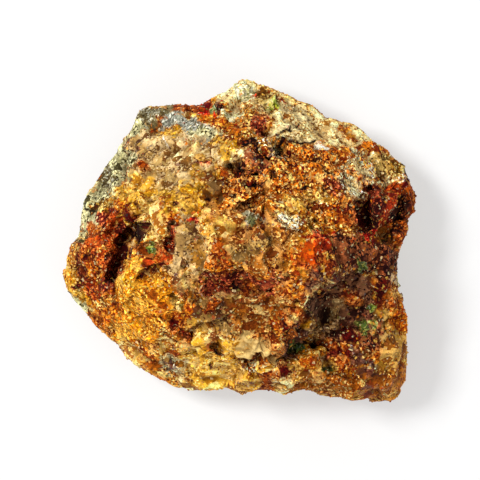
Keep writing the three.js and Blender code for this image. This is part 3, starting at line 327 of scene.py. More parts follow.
    ("rustdark", (1, 6, -19, 7.6, -19), (0.7, 6.4, -14.4, 7.2, -15), (0.25, -15.5, -5.9, -12.6, -4.4, -10.4, -3.2),
        (0.5, -17, -1.2, -17.2, -2.6), (0.4, 24.6, 8.8, 24.2, 7.8)),
    ("olivecream", (1.3, 1.5, -18.7, 3.7, -18.8), (0.7, 18.8, 9, 19.6, 8.6)),
    ("plate", (1, -0.2, -15.6, 2, -15.7, 4.1, -16.5), (0.55, 0, -16.4, 3, -16.8)),
    ("golden", (1.3, 9, -18.6, 12.6, -19), (1.2, -6.6, -12.6, -4, -14.6), (0.6, -1.2, -9.3, 0.2, -9.3)),
    ("whitequartz", (0.2, 10.2, -17.2, 10.4, -17.3), (0.2, 12, -17.6, 12.2, -17.7),
        (0.9, -10.8, -18.6, -9.8, -19.4), (0.5, 4.2, 14.4, 5.2, 14.2), (0.4, 5.6, 12.4, 6.4, 12.2)),
    # The dark strokes on this line lie in hollows as painted shade over dark maroon.
    ("dark", (0.5, -3.4, 19.8, -2.8, 19.4), (0.6, 12, -7.1, 12.3, -8)), ("palegreen", (0.7, -1.6, 19.2, -0.4, 19.2)),
    ("darkgreen", (0.7, 7.4, -15.9, 8.9, -16)),
    ("orange", (1.1, -4.4, 17.6, -0.6, 17.4), (0.7, -10, 3.6, -9.2, 3), (0.8, 14.8, 12.2, 16.2, 12.2),
        (0.6, -22.4, -4.2, -22, -6.6), (0.7, -14.4, -3.7, -12.2, -3.4), (0.7, -11.8, -1.8, -10.9, -2.6),
        (0.8, 7.8, -2, 8.8, -3.9), (0.5, -13.8, -3.7, -12.8, -4)),
    ("rind", (0.55, -7, 15.8, -2.6, 15.5)),
    ("brightorange", (0.7, 8.8, -2.6, 10.2, -3.4), (0.7, 10.6, -1.6, 11.8, -2.8)),
    ("ochre", (0.8, -3, 14.2, -1.8, 12.6), (0.6, -17.2, -5.3, -16.5, -6.1)),
    ("rustred", (0.8, -22.6, -7.2, -21.6, -7.8), (0.6, 8, -3.7, 8.8, -4.3)),
    ("maroon", (1.1, 13.2, -16.6, 15.2, -17.1), (0.8, 16.2, 3.6, 17.8, 3)),
    ("mauve", (1, 17.5, -16.8, 17.5, -18.2), (0.7, -11.2, -18.4, -10.2, -19.2)),
    ("creamquartz", (0.5, -11.9, -17.9, -11.3, -18.2)),
    # Tiny white strokes, partly painted glints.
    ("white", (0.12, 16.9, -15.4, 17, -15.6), (0.15, -11.1, 14.2, -11, 13.6)),
    ("brownquartz", (0.8, -8.4, 1.8, -7.2, 1.2), (1, -15.2, 15, -14.2, 13), (0.45, -1.1, 11, -0.1, 10.8)),
    ("oliveyellow", (0.9, -6.5, -1, -6.6, -6.5)), ("deepred", (0.55, -7.2, 2.5, -6.8, 2.5)),
    ("tan", (0.9, -13.8, 15.9, -12.6, 15.6)),
    ("redrust", (0.8, 2.2, -3.8, 3.6, -3.8), (1.6, 10.5, -21.6, 15, -21.8), (0.6, 20.6, 1.8, 21.4, 1.2)),
    ("olivequartz", (0.7, 4.2, -2.2, 5.4, -2)),
    ("rustbrown", (1, 15.6, -9, 17.4, -9), (0.8, 6, -12.4, 7, -13.4), (0.9, 14.6, 3.6, 16.2, 2.8),
        (0.7, 6, -12.8, 7.2, -13), (0.6, -10.2, -16.4, -9, -16.6), (0.8, -22.8, 1.8, -21.8, 1.4),
        (0.9, 7.6, -10.6, 9, -11.6), (0.7, 12.4, -3, 12.9, -3.9)),
    # Painted light on the shaded walls of the pocket by the green spot.
    ("redwall", (0.5, -11.8, -2, -11, -2.4), (0.6, -13.7, -3.4, -12.9, -4)),
    # The first dark rust stroke is a painted shadow under the cream plate; the others darken grooves and ledges,
    # partly as painted shade.
    ("rustdark", (0.35, -0.2, -17.5, 2.8, -17.7), (0.6, -9.9, -12.7, -9, -13.2),
        (0.65, -10.4, -11.8, -8.6, -13.3, -7, -14.3), (1.4, 20, 7.2, 19.4, 3.4), (0.35, 6.2, -12.6, 7, -13.2),
        (0.3, -11.4, -3.4, -10.6, -2.6)),
    ("golden", (2.1, 22.6, -10.6, 23, -15, 22.8, -18.4), (1.5, -0.6, -19.6, 1.2, -21, 0.2, -22.6)),
    ("orange", (0.9, 24, -10.6, 24.1, -12.8), (0.7, 9.4, -18.1, 10.8, -18.4), (0.5, -12.4, -11, -10.6, -11.3),
        (0.6, -13.6, -16.2, -12.9, -16.7)),
    ("mauve", (1.1, 18.6, -19.6, 20.4, -20.2)), ("whitequartz", (0.7, 19.9, -18.4, 20.2, -18.7)),
    # The dark strokes on this line lie along eastern hollows as painted shade over dark maroon.
    ("pinkgrey", (2, 19.6, -22.8, 22, -22, 24, -20.4)), ("dark", (0.8, 19.4, 5.6, 19, 3), (1.1, 24.4, 6, 23.4, 2.6)),
    ("orangered", (0.5, 23.2, 8.2, 22, 5, 21.2, 2.2)),
    ("maroon", (0.6, -20.8, 3.6, -20.2, 3.2), (1, 18.8, 7.2, 19.4, 6)),
    ("redrust", (0.5, 21.2, -21.2, 21.4, -21.3), (0.5, 22.2, -23, 22.4, -23), (0.7, 11.5, -19.9, 12.6, -20.3)),
    # The bright red strokes on this line are painted light on shaded walls.
    ("darkgreen", (0.4, 12.5, -19, 13, -19.2)), ("redwall", (0.7, -11.6, -1.5, -11, -2.4), (0.7, -19, 2, -18.4, 0.6)),
    # Dark rust in south-eastern and eastern hollows, partly painted shade.
    ("rustdark", (0.9, 16, -14.4, 18, -14.8), (0.9, 15, -16.4, 16.2, -17), (0.9, 18.9, 5.4, 18.4, 3.4)),
    ("rustbrown", (1.3, 21, -5.6, 21.4, -8.8), (0.8, 15, -18.4, 16.4, -18.2), (1.1, 4, -19.8, 3.8, -22.2),
        (0.7, 11.8, -15.7, 14.2, -16)),
    ("cream", (0.8, 5.6, -21.1, 7.6, -21.4), (0.5, 6.2, -22.6, 6.8, -22.6), (0.6, 11.6, 16.1, 12.5, 15.7),
        (0.6, -8.2, -21.7, -7.4, -22)),
    ("purplebrown", (0.7, 18.4, -18, 19.8, -18)), ("brownquartz", (1, 20.4, -12.4, 21.4, -13.6)),
    ("olivebrown", (1.1, 20.6, -3.4, 21.2, -5.8), (0.9, 18.8, -14.4, 20, -15), (0.5, 20.6, -12.6, 21.4, -13.2)),
    # Dark brown in a small recess, partly painted shade.
    ("recess", (0.8, 17.4, -7, 18.6, -8.6)),
    ("green", (0.4, -13.1, -0.9, -12.9, -1.6), (0.35, -3.8, 19.1, -3.7, 19.4),
        (0.3, 18.4, -13.8, 17.9, -12.6, 19, -11.9, 20, -12.8), (0.35, 17.6, -3.6, 18.5, -4.4),
        (0.35, 19.4, -9.8, 19.7, -10.2)),
    # Dark rust in eastern hollows, partly painted shade.
    ("rustdark", (0.9, 20.8, -6.8, 21.2, -8.4), (0.7, 15, -16.2, 16.2, -16.8)),
    ("rustbrown", (0.9, 22.2, -8.8, 23, -9.8)), ("greyquartz", (0.7, 22.4, -5.4, 23.2, -6)),
    ("goldcream", (0.8, -4.6, -14.4, -3.6, -14.9), (0.7, -1.2, -20, -0.4, -20.6), (0.7, 1, -20, 1.6, -20.4),
        (0.7, -1, -18.2, -0.2, -18.4), (0.5, -1.4, -14.9, -0.6, -15.2), (0.6, 2.6, -18.2, 3.5, -18.4)),
    # Painted shade in the groove, the comma hole and the small pit.
    ("pitblack", (0.22, -9.6, -12.6, -7.2, -14.2), (0.3, -4.1, -16, -3.3, -16, -2.9, -16.6),
        (0.2, -12, -11.5, -11.7, -11.6)),
    # Pale strokes round the comma hole: painted light on its shaded ground.
    ("goldcream", (0.7, -6.6, -14.4, -5.4, -15)), ("paleyellow", (0.8, -4.8, -14.5, -3.8, -14.8)),
    ("goldcream", (0.45, -5.3, -15.8, -5, -17, -3.8, -17.6), (0.4, -3.4, -15, -2.2, -15.6)),
    # Painted shade in the comma hole.
    ("pitblack", (0.25, -4.1, -16, -3.3, -16, -2.9, -16.6)),
]

# What the unseen flanks and back are made of, by share.
BACK_KINDS = ["rust", "rustbrown", "ochre", "greyquartz", "rind", "brownquartz", "tan", "redrust"]


def ease(t):
    t = np.clip(t, 0, 1)
    return t * t * (3 - 2 * t)


def mix(a, b, t):
    return a + (b - a) * t


def chance(i, j, k):
    s = np.sin(i * 127.1 + j * 311.7 + k * 74.7) * 43758.5453
    return s - np.floor(s)


def noise(x, y, z):
    x, y, z = np.broadcast_arrays(x, y, z)
    i, j, k = np.floor(x), np.floor(y), np.floor(z)
    u, v, w = ease(x - i), ease(y - j), ease(z - k)

    def row(b, c):
        return mix(chance(i, j + b, k + c), chance(i + 1, j + b, k + c), u)

    return 2 * mix(mix(row(0, 0), row(1, 0), v), mix(row(0, 1), row(1, 1), v), w) - 1


def field(place, size, seed=0):
    """Noise of one size, the same in all directions."""
    x, y, z = place
    return noise(x / size, y / size, z / size + seed)


def neighbours(cell, seed, place):
    """The scattered centres around each point: the way from each, in cells, its square, and its grid numbers."""
    p = [q / cell for q in place]
    base = [np.floor(q) for q in p]
    for a, b, c in product((-1, 0, 1), repeat=3):
        i, j, k = base[0] + a + seed, base[1] + b, base[2] + c
        off = [
            p[0] - base[0] - a - chance(i, j, k),
            p[1] - base[1] - b - chance(i + 17, j, k),
            p[2] - base[2] - c - chance(i, j + 17, k),
        ]
        yield off, off[0] ** 2 + off[1] ** 2 + off[2] ** 2, (i, j, k)


def chip(cell, step, tilt, seed, place):
    """Broken facets: each point takes the level and the tilt of its nearest centre."""
    best, value = np.full(place[0].shape, np.inf), np.zeros(place[0].shape)
    for off, d, (i, j, k) in neighbours(cell, seed, place):
        lean = sum(off[n] * (chance(i, j + 31 * (n + 1), k + 7) - 0.5) for n in range(3))
        level = step * (chance(i + 5, j, k + 3) - 0.5) + tilt * cell * lean
        value = np.where(d < best, level, value)
        best = np.minimum(best, d)
    return value


def cells(cell, seed, place):
    """Distance to the nearest scattered centre in cells, and that centre's random number."""
    best, pick = np.full(place[0].shape, np.inf), np.zeros(place[0].shape)
    for _, d, (i, j, k) in neighbours(cell, seed, place):
        pick = np.where(d < best, chance(i + 3, j + 5, k + 9), pick)
        best = np.minimum(best, d)
    return np.sqrt(best), pick


# The outline and the rim as tables by angle.
STEPS = 3600
TABLE_ANGLES = np.arange(STEPS) * 2 * math.pi / STEPS


def outline_table():
    a = np.array(OUTLINE, float)
    b = np.roll(a, -1, axis=0)
    c, s = np.cos(TABLE_ANGLES)[:, None], np.sin(TABLE_ANGLES)[:, None]
    side_a = c * a[:, 1] - s * a[:, 0]
    side_b = c * b[:, 1] - s * b[:, 0]
    hit = (side_a <= 0) & (side_b > 0) & (c * a[:, 0] + s * a[:, 1] > 0)
    n = hit.argmax(1)
    rows = np.arange(STEPS)
    t = side_a[rows, n] / (side_a[rows, n] - side_b[rows, n])
    return np.hypot(mix(a[n, 0], b[n, 0], t), mix(a[n, 1], b[n, 1], t))


OUTLINE_RADIUS = outline_table()


def by_angle(table, angle):
    at = (angle / (2 * math.pi) * STEPS) % STEPS
    i = np.floor(at).astype(int) % STEPS
    return mix(table[i], table[(i + 1) % STEPS], at - np.floor(at))


def plain_table():
    total, weight = 0, 0
    for n in range(-6, 7):
        w = math.exp(-((n / 3) ** 2))
        total = total + w * by_angle(OUTLINE_RADIUS, TABLE_ANGLES + n * 0.06)
        weight += w
    return total / weight


PLAIN_RADIUS = plain_table()


def rim_table(column):
    degrees = np.degrees(TABLE_ANGLES)
    out = np.zeros(STEPS)
    for n, entry in enumerate(RIM):
        after = RIM[(n + 1) % len(RIM)]
        span = (after[0] - entry[0] + 360) % 360
        part = (degrees >= entry[0]) & (degrees < entry[0] + span)
        out[part] = mix(entry[column], after[column], ease((degrees[part] - entry[0]) / span))
    return out


WIDEST = rim_table(1)
ROUND = rim_table(2)


def along(path, x, y):
    """Distance to a path, the side it is on (1 for left) and the share of the path gone by there."""
    best = np.full(x.shape, np.inf)
    side = np.ones(x.shape)
    at = np.zeros(x.shape)
    for n, (a, b) in enumerate(zip(path, path[1:])):
        dx, dy = b[0] - a[0], b[1] - a[1]
        t = np.clip(((x - a[0]) * dx + (y - a[1]) * dy) / (dx * dx + dy * dy), 0, 1)
        d = np.hypot(x - a[0] - t * dx, y - a[1] - t * dy)
        near = d < best
        best = np.where(near, d, best)
        side = np.where(near, np.where(dx * (y - a[1]) - dy * (x - a[0]) > 0, 1, -1), side)
        at = np.where(near, (n + t) / (len(path) - 1), at)
    return best, side, at


def relief(form, x, y):
    """How deep a hollow or how high a lump is at each point."""
    path, depth, left, right, floor, *faded = form
    d, side, at = along(path, x, y)
    share = d / np.where(side > 0, left, right)
    fade = ease(at / 0.2) * ease((1 - at) / 0.2) if faded else 1
    return np.where(share >= 1, 0, depth * fade * (1 - ease((share - floor) / (1 - floor))))


PLACES = np.array(HEIGHTS, float)


def smooth_ground(x, y):
    w = np.exp(-((x - PLACES[:, 0]) ** 2 + (y - PLACES[:, 1]) ** 2) / (2 * SLOPE_REACH**2)) + 1e-9
    return (w * PLACES[:, 2]).sum() / w.sum()


SLOPES = np.array([
    [
        np.clip(smooth_ground(x + 0.5, y) - smooth_ground(x - 0.5, y), -STEEPEST, STEEPEST),
        np.clip(smooth_ground(x, y + 0.5) - smooth_ground(x, y - 0.5), -STEEPEST, STEEPEST),
    ]
    for x, y, z in HEIGHTS
])


def ground(x, y):
    dx = x[:, None] - PLACES[:, 0]
    dy = y[:, None] - PLACES[:, 1]
    reach = dx**2 + dy**2
    w = np.exp((reach.min(1, keepdims=True) - reach) / (2 * FACET_BLEND**2))
    z = PLACES[:, 2] + SLOPES[:, 0] * dx + SLOPES[:, 1] * dy
    return (w * z).sum(1) / w.sum(1)


def face_height(x, y, angle, share):
    size, reach = WARP
    wx = x + reach * noise(x / size, y / size, 3.5)
    wy = y + reach * noise(x / size, y / size, 8.5)
    z = ground(x, y)
    for form in LUMPS:
        z = z + relief(form, wx, wy)
    for form in HOLLOWS:
        z = z - relief(form, wx, wy)
    widest = by_angle(WIDEST, angle)
    inward = np.clip((1 - share) * by_angle(PLAIN_RADIUS, angle) / by_angle(ROUND, angle), 0, 1)
    return widest + np.maximum(z - widest, 1) * (1 - (1 - inward) ** 2.2)


def flank_radius(angle, up):
    radius = mix(by_angle(PLAIN_RADIUS, angle), by_angle(OUTLINE_RADIUS, angle), ease(up * 1.6 - 0.6))
    x, y = radius * np.cos(angle), radius * np.sin(angle)
    least, more, size, power = UNDERCUT
    cut = least + more * (0.5 + 0.5 * noise(x / size, y / size, 1.5))
    return radius * (1 - cut * (1 - up) ** power)


def break_planes():
    angle = np.radians(np.arange(180) * 2)
    radius = by_angle(OUTLINE_RADIUS, angle)
    rim = np.stack([radius * np.cos(angle), radius * np.sin(angle), by_angle(WIDEST, angle)], 1)
    planes = []
    for compass, lean in BREAKS:
        a, b = math.radians(compass), math.radians(lean)
        out = np.array([math.cos(a) * math.cos(b), math.sin(a) * math.cos(b), math.sin(b)])
        planes.append((out, (rim @ out).max()))
    return planes


def trimmed(p):
    """The points moved in to the planes of the large breaks, level ones along the base."""
    level = p[:, 2] == 0
    for out, reach in break_planes():
        over = np.maximum(p @ out - reach, 0)
        flat = out * (1, 1, 0)
        back = np.where(level[:, None], flat / (flat @ flat), out)
        p = p - over[:, None] * back
    return p


def ring_grid(rings):
    """Angle and share of the radius for a square grid bent into rings."""
    n = np.arange(2 * rings + 1)
    a, b = np.meshgrid((n - rings) / rings, (n - rings) / rings)
    a, b = a.ravel(), b.ravel()
    eighth = math.pi / 4
    with np.errstate(divide="ignore", invalid="ignore"):
        first = eighth * (b / a) + np.where(a < 0, math.pi, 0)
        second = 2 * eighth - eighth * (a / b) + np.where(b < 0, math.pi, 0)
    angle = np.where(np.abs(a) >= np.abs(b), first, second)
    angle = np.where((a == 0) & (b == 0), 0, angle)
    share = 1 - (1 - np.maximum(np.abs(a), np.abs(b))) ** RING_CROWDING
    return angle, share


def rock_surface():
    """Plain points of the lump, its triangles, and for each point the roughness share and depth below the rim."""
    side = 2 * FACE_RINGS + 1
    top_count = side * side
    angle, share = ring_grid(FACE_RINGS)
    notched = ease((share - 1) / NOTCH_DEPTH + 1)
    radius = share * mix(by_angle(PLAIN_RADIUS, angle), by_angle(OUTLINE_RADIUS, angle), notched)
    x, y = radius * np.cos(angle), radius * np.sin(angle)
    z = face_height(x, y, angle, share)
    points = [np.stack([x, y, z], 1)]
    from_rim = [(1 - share) * radius + 0.5 * (z - by_angle(WIDEST, angle))]
    below = [np.zeros(x.shape)]

    j, i = np.meshgrid(np.arange(side - 1), np.arange(side - 1), indexing="ij")
    a = (j * side + i).ravel()
    b, c, d = a + 1, a + side + 1, a + side
    rising = ((i < FACE_RINGS) == (j < FACE_RINGS)).ravel()[:, None]
    faces = [
        np.where(rising, np.stack([a, b, c], 1), np.stack([a, b, d], 1)),
        np.where(rising, np.stack([a, c, d], 1), np.stack([b, c, d], 1)),
    ]

    last = side - 1
    n = np.arange(last)
    rings = [np.concatenate([n, n * side + last, last * side + last - n, (last - n) * side])]
    ring_angle = angle[rings[0]]

    def add_ring(ring, rim_way, depth):
        above, under = rings[-1], sum(map(len, points)) + np.arange(len(ring))
        faces.append(np.stack([above, under, np.roll(under, -1)], 1))
        faces.append(np.stack([above, np.roll(under, -1), np.roll(above, -1)], 1))
        rings.append(under)
        points.append(ring)
        from_rim.append(rim_way)
        below.append(depth)

    widest = by_angle(WIDEST, ring_angle)
    for row in range(1, FLANK_ROWS + 1):
        up = np.full(ring_angle.shape, 1 - row / FLANK_ROWS)
        radius = flank_radius(ring_angle, up)
        flank = np.stack([radius * np.cos(ring_angle), radius * np.sin(ring_angle), up * widest], 1)
        add_ring(flank, (1 - up) * widest, (1 - up) * widest)
    edge = trimmed(points[-1])
    for inset in BASE_INSETS:
        add_ring(edge * (inset, inset, 1), np.full(len(edge), BASE_RIM_WAY), np.full(len(edge), BASE_DEPTH))
    centre = np.full(len(edge), sum(map(len, points)))
    faces.append(np.stack([rings[-1], centre, np.roll(rings[-1], -1)], 1))
    points.append(np.zeros((1, 3)))
    from_rim.append([BASE_RIM_WAY])
    below.append([BASE_DEPTH])

    points, faces = trimmed(np.concatenate(points)), np.concatenate(faces)
    # Steep walls of the face are evened out, because the grid has few points there.
    steep = 0.85 * ease((0.8 - normals_of(points, faces)[:top_count, 2]) / 0.35) * ease((1 - share) / 0.06)
    points[:top_count] = mix(points[:top_count], spread(points, faces, 5)[:top_count], steep[:, None])
    least, reach = RIM_CALM
    calm = mix(least, 1, ease(np.concatenate(from_rim) / reach))
    return points, faces, calm, np.concatenate(below), top_count


def normals_of(points, faces):
    a, b, c = points[faces[:, 0]], points[faces[:, 1]], points[faces[:, 2]]
    n = np.cross(b - a, c - a)
    out = np.zeros_like(points)
    for corner in range(3):
        for axis in range(3):
            out[:, axis] += np.bincount(faces[:, corner], n[:, axis], len(points))
    return out / np.maximum(np.linalg.norm(out, axis=1, keepdims=True), 1e-12)


def spread(values, faces, rounds):
    """Values averaged over the mesh's neighbours, round after round."""
    pairs = np.concatenate([faces[:, [0, 1]], faces[:, [1, 2]], faces[:, [2, 0]]])
    a, b = np.concatenate([pairs[:, 0], pairs[:, 1]]), np.concatenate([pairs[:, 1], pairs[:, 0]])
    count = np.bincount(a, minlength=len(values))
    for _ in range(rounds):
        total = np.stack([np.bincount(a, values[b, n], len(values)) for n in range(values.shape[1])], 1)
        values = total / count[:, None]
    return values


def linear(rgb):
    c = np.array(rgb, float) / 255
    return np.where(c <= 0.04045, c / 12.92, ((c + 0.055) / 1.055) ** 2.4)


def kind_values(name):
    main, dark, pale, *rest = KINDS[name]
    return np.concatenate([linear(main), linear(dark), linear(pale), rest])


# Columns of the values that each point of the surface carries.
MAIN, DARK, PALE = slice(0, 3), slice(3, 6), slice(6, 9)
DARK_SHARE, PALE_SHARE, ROUGH, CRUMB, ANGULAR, PIT, COARSE, FLECK, MIXED = range(9, 18)


# How the paint's edges wander, as (size across, size upward, reach, seeds for x and y), and how they fray, as
# (size, seed, reach). Softness and fray grow with the stroke's reach, as (start, growth, limit).
WANDER = [(2.3, 5, 0.75, 31, 41), (0.8, 2, 0.35, 37, 47)]
FRAY_GRAIN = (0.42, 5, 0.9)
FRAY_NOISE = (1.1, 9, 0.5)
SOFTNESS, FRAYING = (0.12, 0.38, 1.1), (0.1, 0.8, 1.7)
# Two kinds lie in patches under the strokes: kind, the sign of the noise it takes, where it starts.
UNDER_NOISE = (3.1, 3)
UNDER_KINDS = [("ochre", 1, 0.25), ("rustbrown", -1, 0.2)]
UNDER_EDGE, UNDER_SHARE = 4, 0.7
# Blotches on the back: size, size of their frayed edge, where they start, how sharp they are.
BLOTCH, BLOTCH_FRAY, BLOTCH_START, BLOTCH_EDGE = 6, 1.7, 0.12, 3.5


def grown(reach, start, growth, limit):
    return min(limit, start + growth * reach)


def painted(points, below):
    """The kind values of each point."""
    x, y, z = place = points.T
    wx, wy = x, y
    for size, tall, reach, seed_x, seed_y in WANDER:
        wx = wx + reach * noise(x / size, y / size, z / tall + seed_x)
        wy = wy + reach * noise(x / size, y / size, z / tall + seed_y)
    (cell, cell_seed, cell_reach), (size, seed, reach) = FRAY_GRAIN, FRAY_NOISE
    fray = cell_reach * (cells(cell, cell_seed, place)[1] - 0.5) + reach * field(place, size, seed)
    values = hidden = np.tile(kind_values("rust"), (len(points), 1))
    patchy = field(place, *UNDER_NOISE)
    for kind, sign, start in UNDER_KINDS:
        values = mix(values, kind_values(kind), ease((sign * patchy - start) * UNDER_EDGE)[:, None] * UNDER_SHARE)
    for kind, *strokes in PATCHES:
        for reach, *path in strokes:
            d, _, _ = along(list(zip(path[::2], path[1::2])), wx, wy)
            w = ease((reach - d + fray * grown(reach, *FRAYING)) / grown(reach, *SOFTNESS) + 0.5)
            values = mix(values, kind_values(kind), w[:, None])
    for n, kind in enumerate(BACK_KINDS):
        blotch = noise(x / BLOTCH + 11 * n, y / BLOTCH + 5 * n, z / BLOTCH + 7 * n)
        blotch = blotch + 0.5 * noise(x / BLOTCH_FRAY + n, y / BLOTCH_FRAY, z / BLOTCH_FRAY)
        hidden = mix(hidden, kind_values(kind), ease((blotch - BLOTCH_START) * BLOTCH_EDGE)[:, None])
    away = ease((below + 1.2 * field(place, 2) - 1) / 2.5)
    return mix(values, hidden, away[:, None])


# Relief by kind: cells as (size, seed), chips as (size, step, tilt, seed), lengths in mm.
LARGE_CRUMBS, SMALL_CRUMBS, PORES = (0.95, 3), (0.5, 9), (1.7, 21)
LARGE_CHIPS, SMALL_CHIPS = (1.9, 0.06, 0.28, 70), (0.8, 0.06, 0.3, 90)
CRUMB_HEIGHT = 0.12
PORE_SHARE, PORE_RADIUS, PORE_EDGE, PORE_DEPTH = 0.45, 0.42, 0.16, 0.65


def detailed(points, faces, calm, below, top_count):
    """The finished surface: broken facets, crumbs, chips and pores, with its paint and how deep each pore is."""
    place = points.T
    paint = painted(points, below)
    rough = RIPPLE[1] * field(place, RIPPLE[0])
    for form in CHIPS:
        rough = rough + chip(*form, place)
    rough = rough * calm
    large, pick = cells(*LARGE_CRUMBS, place)
    small, _ = cells(*SMALL_CRUMBS, place)
    crumbs = CRUMB_HEIGHT * (0.6 - large) * (0.5 + pick) + CRUMB_HEIGHT * (0.6 - small)
    rough = rough + paint[:, CRUMB] * crumbs
    fine_chips = 0.6 * (1 - paint[:, COARSE]) * chip(*SMALL_CHIPS, place)
    rough = rough + paint[:, ANGULAR] * (chip(*LARGE_CHIPS, place) + fine_chips)
    pore, pick = cells(*PORES, place)
    pores = paint[:, PIT] * (pick < PORE_SHARE) * ease((PORE_RADIUS - pore) / PORE_EDGE)
    base = below == BASE_DEPTH
    rough = np.where(base, 0, rough - PORE_DEPTH * pores)
    push = normals_of(points, faces)
    push[top_count:, 2] = 0
    final = points + rough[:, None] * push
    arched = np.maximum(0, noise(place[0] / 5, place[1] / 5, 2.2) - 0.1) * 1.2
    final[:, 2] += np.where(base, np.maximum(arched + 0.15 * (1 - small), 0), 0)
    final[:, 2] = np.maximum(final[:, 2], 0)
    eased = mix(final, spread(final, faces, 1), 0.5)
    return np.where(base[:, None], final, eased), paint, pores


def looks_of(tones, paint):
    """What the material reads at each point: three tones and the finish, each with a share in its last column."""
    main, dark, pale = tones
    return [
        np.column_stack([main, paint[:, COARSE]]),
        np.column_stack([dark, paint[:, DARK_SHARE]]),
        np.column_stack([pale, paint[:, PALE_SHARE]]),
        np.column_stack([np.clip(paint[:, ROUGH], 0.2, 1), paint[:, FLECK], paint[:, MIXED], np.ones(len(paint))]),
    ]


# How far the tone drifts to dark or pale over these noises (size, seed, share).
DRIFT = 0.5
DRIFT_NOISES = [(1.3, 11, 1), (2.9, 13, 0.8)]
# Painted shade in near and wide hollows and a painted highlight on raised edges, which darken and lighten the tones:
# rounds of spreading, height in mm, lower limit, share.
CLOSE_PAINTED_SHADING, WIDE_PAINTED_SHADING = (3, 0.05, -1, 0.25), (28, 0.35, -1.4, 0.15)
STAIN, STAIN_DEPTH, STAIN_TINT = 0.4, 0.5, (0.95, 0.68, 0.5)
# Pores take a painted shade: a dark brown mixed in by this strength.
PORE_SHADE_COLOUR, PORE_SHADE_STRENGTH = (40, 19, 10), 0.85


def coloured(final, faces, paint, pores):
    """The three tones of each point, with painted shade in pores and hollows and a painted highlight on edges."""
    drift = sum(share * field(final.T, size, seed) for size, seed, share in DRIFT_NOISES)
    main = mix(paint[:, MAIN], paint[:, DARK], (DRIFT * np.clip(drift, 0, 1))[:, None])
    main = mix(main, paint[:, PALE], (DRIFT * np.clip(-drift, 0, 1))[:, None])
    normal = normals_of(final, faces)
    # Painted shade darkens hollows and a painted highlight lightens raised edges, by how far each point lies below or
    # above its neighbours.
    painted_shading = 0
    for rounds, height, least, share in (CLOSE_PAINTED_SHADING, WIDE_PAINTED_SHADING):
        raised = ((final - spread(final, faces, rounds)) * normal).sum(1)
        painted_shading = painted_shading + np.clip(raised / height, least, 1) * share
    factor = np.exp(painted_shading)
    # Hollows, which take the painted shade, also redden, because the iron stain gathers in them.
    stain = (STAIN * ease(np.clip(-raised / STAIN_DEPTH, 0, 1)))[:, None]
    # Painted shade in the pores.
    pore_shade = (PORE_SHADE_STRENGTH * pores)[:, None]
    tones = []
    for tone in (main, paint[:, DARK], paint[:, PALE]):
        tone = tone * factor[:, None]
        tone = mix(tone, tone * STAIN_TINT, stain)
        tones.append(np.clip(mix(tone, linear(PORE_SHADE_COLOUR), pore_shade), 0.002, 0.95))
    return tones


def add_object(name, data):
    piece = bpy.data.objects.new(name, data)
    bpy.context.scene.collection.objects.link(piece)
    return piece


def new_piece(name, points, faces, looks, material, smooth=False):
    """A mesh piece. looks holds what its material reads at each point, as looks_of gives it."""
    mesh = bpy.data.meshes.new(name)
    mesh.vertices.add(len(points))
    mesh.vertices.foreach_set("co", (points * MM).astype(np.float32).ravel())
    mesh.loops.add(len(faces) * 3)
    mesh.loops.foreach_set("vertex_index", faces.astype(np.int32).ravel())
    mesh.polygons.add(len(faces))
    mesh.polygons.foreach_set("loop_start", np.arange(0, len(faces) * 3, 3, dtype=np.int32))
    mesh.update(calc_edges=True)
    mesh.validate()
    mesh.polygons.foreach_set("use_smooth", np.broadcast_to(smooth, len(mesh.polygons)))
    for layer, values in zip(LAYERS, looks):
        attribute = mesh.attributes.new(layer, "FLOAT_COLOR", "POINT")
        rgba = np.ones((len(points), 4), np.float32)
        rgba[:, : values.shape[1]] = values
        attribute.data.foreach_set("color", rgba.ravel())
    mesh.materials.append(material)
    piece = add_object(name, mesh)
    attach(piece, "root")
    return piece


class Nodes:
    """Short hand for a material's node tree."""

    def __init__(self, name, **constants):
        self.material = bpy.data.materials.new(name)
        self.material.use_nodes = True
        self.tree = self.material.node_tree
        self.shader = self.tree.nodes["Principled BSDF"]
        for key, value in constants.items():
            self.shader.inputs[key.replace("_", " ")].default_value = value

    def add(self, kind, vector=None, **values):
        node = self.tree.nodes.new("ShaderNode" + kind)
        for key, value in values.items():
            if key in node.inputs:
                node.inputs[key].default_value = value
            else:
                setattr(node, key, value)
        if vector is not None:
            self.join(vector, node.inputs["Vector"])
        return node

    def join(self, source, target):
        self.tree.links.new(source, target)

    def feed(self, node, *pairs):
        for value, index in pairs:
            if isinstance(value, (float, tuple)):
                node.inputs[index].default_value = value
            else:
                self.join(value, node.inputs[index])

    def math(self, operation, *values):
        node = self.add("Math", operation=operation)
        self.feed(node, *zip(values, range(3)))
        return node.outputs[0]

    def split(self, colour):
        node = self.add("SeparateColor")
        self.join(colour, node.inputs["Color"])
        return node.outputs["Red"], node.outputs["Green"], node.outputs["Blue"]

    def blend(self, factor, under, over):
        node = self.add("Mix", data_type="RGBA")
        self.feed(node, (factor, 0), (under, 6), (over, 7))
        return node.outputs[2]

    def value_mix(self, factor, under, over):
        node = self.add("Mix", data_type="FLOAT")
        self.feed(node, (factor, 0), (under, 2), (over, 3))
        return node.outputs[0]

    def scaled(self, colour, factor):
        node = self.add("VectorMath", operation="SCALE")
        self.feed(node, (colour, 0), (factor, "Scale"))
        return node.outputs["Vector"]


# Grain sizes in the material, as cells to the metre.
FINE_GRAINS, COARSE_GRAINS, OTHER_GRAINS = 3500.0, 640.0, 2700.0
# The grains' bends: noise cells to the metre, detail, reach in metres.
BEND = (1400.0, 3.0, 0.0005)
# Stone that turns up as single grains in every zone, and how much of its own colour it keeps.
STRANGERS = [
    (170, 62, 14), (224, 124, 20), (234, 182, 76), (230, 206, 150), (112, 98, 40), (80, 24, 9), (146, 90, 38),
]
STRANGE = 0.65
